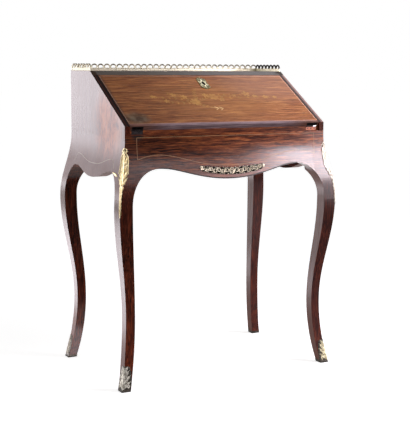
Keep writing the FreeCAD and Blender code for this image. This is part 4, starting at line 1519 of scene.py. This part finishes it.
cartouche_side_leaves = (
    (((4, 22), (6, 28), (9, 33)), 2.4, 2.2, 2, 0.5),
    (((3, -25), (4.5, -29), (7, -33)), 2.2, 2.0, 2, 0.5),
)
cartouche_leaves = (
    (((0, 25), (0, 31), (0, 35.5)), 2.4, 2.2),
    (((0, -28), (0, -32), (0, -35.5)), 2.2, 2.0),
)


def on_lock(u, v, out):
    return on_slope(keyhole_x + u * lock_breadth, keyhole_up + v, out)


def escutcheon_plate(name, inner, outer, rise, metal_name):
    """Flat ring between two ovals: a ground for the openwork, and a black one next to the keyhole, painted as
    the shade in the hole.
    """
    bm = bmesh.new()
    loops = []
    for size, out in ((inner, -sink), (inner, rise), (outer, rise), (outer, -sink)):
        points = sampled(oval(lock_centre, *size), lock_steps)[:-1]
        loops.append([on_lock(*p, out) for p in points])
    loft(bm, loops, closed=True)
    cast(name, bm, metal_name, "escutcheon", "fall")


def escutcheon_ring():
    """Bright ring and leaves next to the keyhole."""
    bm = bmesh.new()
    ring(bm, on_lock, lock_centre, *lock_ring)
    each(leaf, bm, on_lock, on_hand, ring_leaves)
    each(leaf, bm, on_lock, on_hand, ring_side_leaves, both)
    cast("escutcheon_ring", bm, "lock_gilt", "escutcheon", "fall")


def escutcheon_scrolls():
    """Darker scrolls that frame the ring, with leaves at the head and foot."""
    bm = bmesh.new()
    for hand in both:
        for eye, turn in volutes:
            centre = on_hand(hand, *eye)
            wind = spiral(centre, *volute_radii, 90 - hand * 90, turn * hand * volute_turns)
            tube(bm, on_lock, wind, *volute_wire)
            bead(bm, on_lock, centre, *volute_boss)
    each(tube, bm, on_lock, on_hand, cartouche_rims, both)
    each(leaf, bm, on_lock, on_hand, cartouche_side_leaves, both)
    each(leaf, bm, on_lock, on_hand, cartouche_leaves)
    cast("escutcheon_cartouche", bm, "lock_bronze", "escutcheon", "fall")


for name, settings in lock_plates.items():
    escutcheon_plate(name, *settings)
escutcheon_ring()
escutcheon_scrolls()

# Gallery: hoops of round wire on a moulded strip
gallery_pitch = 21.5
gallery_wire = 2.3
shaded_hoop_wire = 2.7
gallery_base = 9.5
strip_half = ((1.5, 0.0), (1.5, 1.4), (1.0, 2.2), (1.0, 6.9), (1.5, 7.7), (1.5, 8.9), (0.9, gallery_base))
strip_section = strip_half + tuple((-out, v) for out, v in reversed(strip_half))
hoop_overlap = 0.55
hoop_foot = gallery_base - 1.0
hoop_rise_share = 0.2
hoop_steps = 24
ball_radius = 1.5
ball_height = gallery_base + 0.9


def hoop_path(start, end, height, radius):
    """Arch from the strip up over and down again."""
    half = (end - start) / 2 - radius * hoop_overlap
    middle = (start + end) / 2
    spring = height - radius - half

    def path(t):
        rise = min(t, 1 - t) / hoop_rise_share
        if rise < 1:
            return Vector((middle + copysign(half, t - 0.5), hoop_foot + (spring - hoop_foot) * rise))
        angle = pi * (1 - hoop_rise_share - t) / (1 - 2 * hoop_rise_share)
        return Vector((middle, spring)) + half * ray(angle)
    return path


def gallery(node, axis, wire, radius):
    """Rebuild one side of the gallery in the place of its solid."""
    low, high = (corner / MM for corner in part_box(node))
    start, end = low[axis], high[axis]
    centre = (low[1 - axis] + high[1 - axis]) / 2

    def place(u, v, out):
        spot = (u, centre + out) if axis == 0 else (centre + out, u)
        return Vector((*spot, low.z + v)) * MM

    rail = bmesh.new()
    loft(rail, [[place(u, v, out) for out, v in strip_section] for u in (start, end)])
    piece(f"{node}_strip", rail, metal_finish["gallery_brass"], "case", node, smooth=False)
    hoops = bmesh.new()
    count = round((end - start) / gallery_pitch)
    stops = [start + (end - start) * k / count for k in range(count + 1)]
    for left, right in zip(stops, stops[1:]):
        path = hoop_path(left, right, high.z - low.z, radius)
        tube(hoops, place, path, radius, radius, hoop_steps, out=0.0)
    for stop in stops[1:-1]:
        ball = bmesh.ops.create_icosphere(hoops, subdivisions=2, radius=ball_radius * MM)
        bmesh.ops.translate(hoops, verts=ball["verts"], vec=place(stop, ball_height, 0.0))
    piece(f"{node}_hoops", hoops, metal_finish[wire], "case", node)


gallery("gallery_back", 0, "hoop_brass", gallery_wire)
gallery("gallery_left", 1, "hoop_brass", gallery_wire)
# Painted shade: the right side's hoops take a near-black copy of the brass
gallery("gallery_right", 1, "shaded_hoop", shaded_hoop_wire)

# Camera fitted to the photograph
camera_place = (-1.57521, -2.97164, 0.93976)
camera_tilt = 0.13524
camera_roll = -0.0059
camera_turn = -0.49486
focal_pixels = 1065.29
picture_height = 423
sensor = 36.0
camera_data = bpy.data.cameras.new("camera")
camera = linked("camera", camera_data)
camera.location = camera_place
camera.rotation_euler = (pi / 2 - camera_tilt, camera_roll, camera_turn)
camera_data.sensor_width = sensor
camera_data.lens = sensor * focal_pixels / picture_height
bpy.context.scene.camera = camera
bpy.context.scene.view_settings.view_transform = "Standard"

# Lamps: place, target, width and height in metres, brightness of the panel, and what it gives
lamp_tint = (0.98, 0.925, 0.99)
lamps = {
    "back_left_sheen": ((-1.55, 2.75, 1.05), (-0.34, 0.0, 0.95), 2.2, 1.25, 5.0, "sheen"),
    "back_floor_sheen": ((-1.0, 1.3, 0.005), (-1.0, 1.3, 1.0), 1.5, 2.6, 4.2, "sheen"),
    "front_right_sheen": ((1.55, -1.65, 1.15), (0.25, -0.2, 0.65), 0.8, 0.32, 37.0, "sheen"),
    "right_wall_sheen": ((1.85, -1.65, 0.62), (0.3, -0.2, 0.7), 0.9, 0.7, 9.0, "sheen"),
    "front_sheen": ((0.75, -1.65, 1.32), (0.0, -0.22, 0.64), 0.9, 0.38, 6.0, "sheen"),
    "overhead_sheen": ((1.8, 0.9, 2.8), (0.2, 0.0, 0.85), 1.3, 1.3, 2.5, "sheen"),
    "right_light": ((1.1, -0.8, 1.6), (0.1, -0.1, 0.7), 0.6, 0.6, 21.0, "light"),
}


def lamp(name, place, target, width, height, brightness, gives):
    """Panel that lights the colours of the desk or only shows in its polish."""
    data = bpy.data.lights.new(name, "AREA")
    data.shape = "RECTANGLE"
    data.size = width
    data.size_y = height
    data.color = lamp_tint
    data.energy = brightness * pi * width * height
    made = linked(name, data)
    made.location = place
    made.rotation_euler = (Vector(target) - Vector(place)).to_track_quat("-Z", "Y").to_euler()
    made.visible_camera = False
    made.visible_diffuse = gives == "light"
    made.visible_glossy = gives == "sheen"


for name, settings in lamps.items():
    lamp(name, *settings)

# White surround: seen by the camera and in reflections, while soft light falls on the desk
ambient = 0.36
floor_size = 30.0
floor_glow = 0.69
floor_noise = (1.5, 2.0)
floor_stops = ((0.3, 0.86), (0.7, 0.8772))
floor_roughness = 0.9
room_x = (-3.0, 7.0)
room_near = -0.35
room_far = -4.0
room_lift = 0.003
room_height = 3.2
room_noise = (0.8, 2.0)
room_stops = ((0.3, 0.04), (0.7, 0.064))


def seen_directly(tree):
    """1 for rays from the camera, from gloss or through glass."""
    path = tree.nodes.new("ShaderNodeLightPath")
    glossy = calc("MAXIMUM", path.outputs["Is Camera Ray"], path.outputs["Is Glossy Ray"])
    return calc("MAXIMUM", glossy, path.outputs["Is Transmission Ray"])


def surround():
    world = bpy.data.worlds.new("surround")
    bpy.context.scene.world = world
    world.use_nodes = True
    tree = world.node_tree
    strength = calc("MULTIPLY_ADD", seen_directly(tree), 1.0 - ambient, ambient)
    set_inputs(tree.nodes["Background"], Color=rgba(white), Strength=strength)


def floor():
    bm = bmesh.new()
    bmesh.ops.create_grid(bm, x_segments=1, y_segments=1, size=floor_size)
    material, tree, shader = new_material("floor")
    tone = ramp(noise(tree, *floor_noise), floor_stops)
    glow = times(seen_directly(tree), floor_glow)
    set_inputs(shader, Base_Color=tone, Roughness=floor_roughness, Specular_IOR_Level=0.0,
               Emission_Color=rgba(white), Emission_Strength=glow)
    made = mesh_object("floor", bm, material)


def dark_room():
    """Unlit room before the desk, seen only in its polish: a wall and the floor at its foot."""
    bm = bmesh.new()
    rows = [[bm.verts.new((x, y, z)) for x in room_x]
            for y, z in ((room_near, room_lift), (room_far, room_lift), (room_far, room_height))]
    for a, b in zip(rows, rows[1:]):
        bm.faces.new((a[0], a[1], b[1], b[0]))
    material, tree, shader = new_material("dark_room")
    tone = ramp(noise(tree, *room_noise), room_stops)
    set_inputs(shader, Base_Color=tone, Roughness=1.0, Specular_IOR_Level=0.0)
    made = mesh_object("dark_room", bm, material)
    made.visible_camera = False
    made.visible_diffuse = False
    made.visible_transmission = False
    made.visible_shadow = False


surround()
floor()
dark_room()
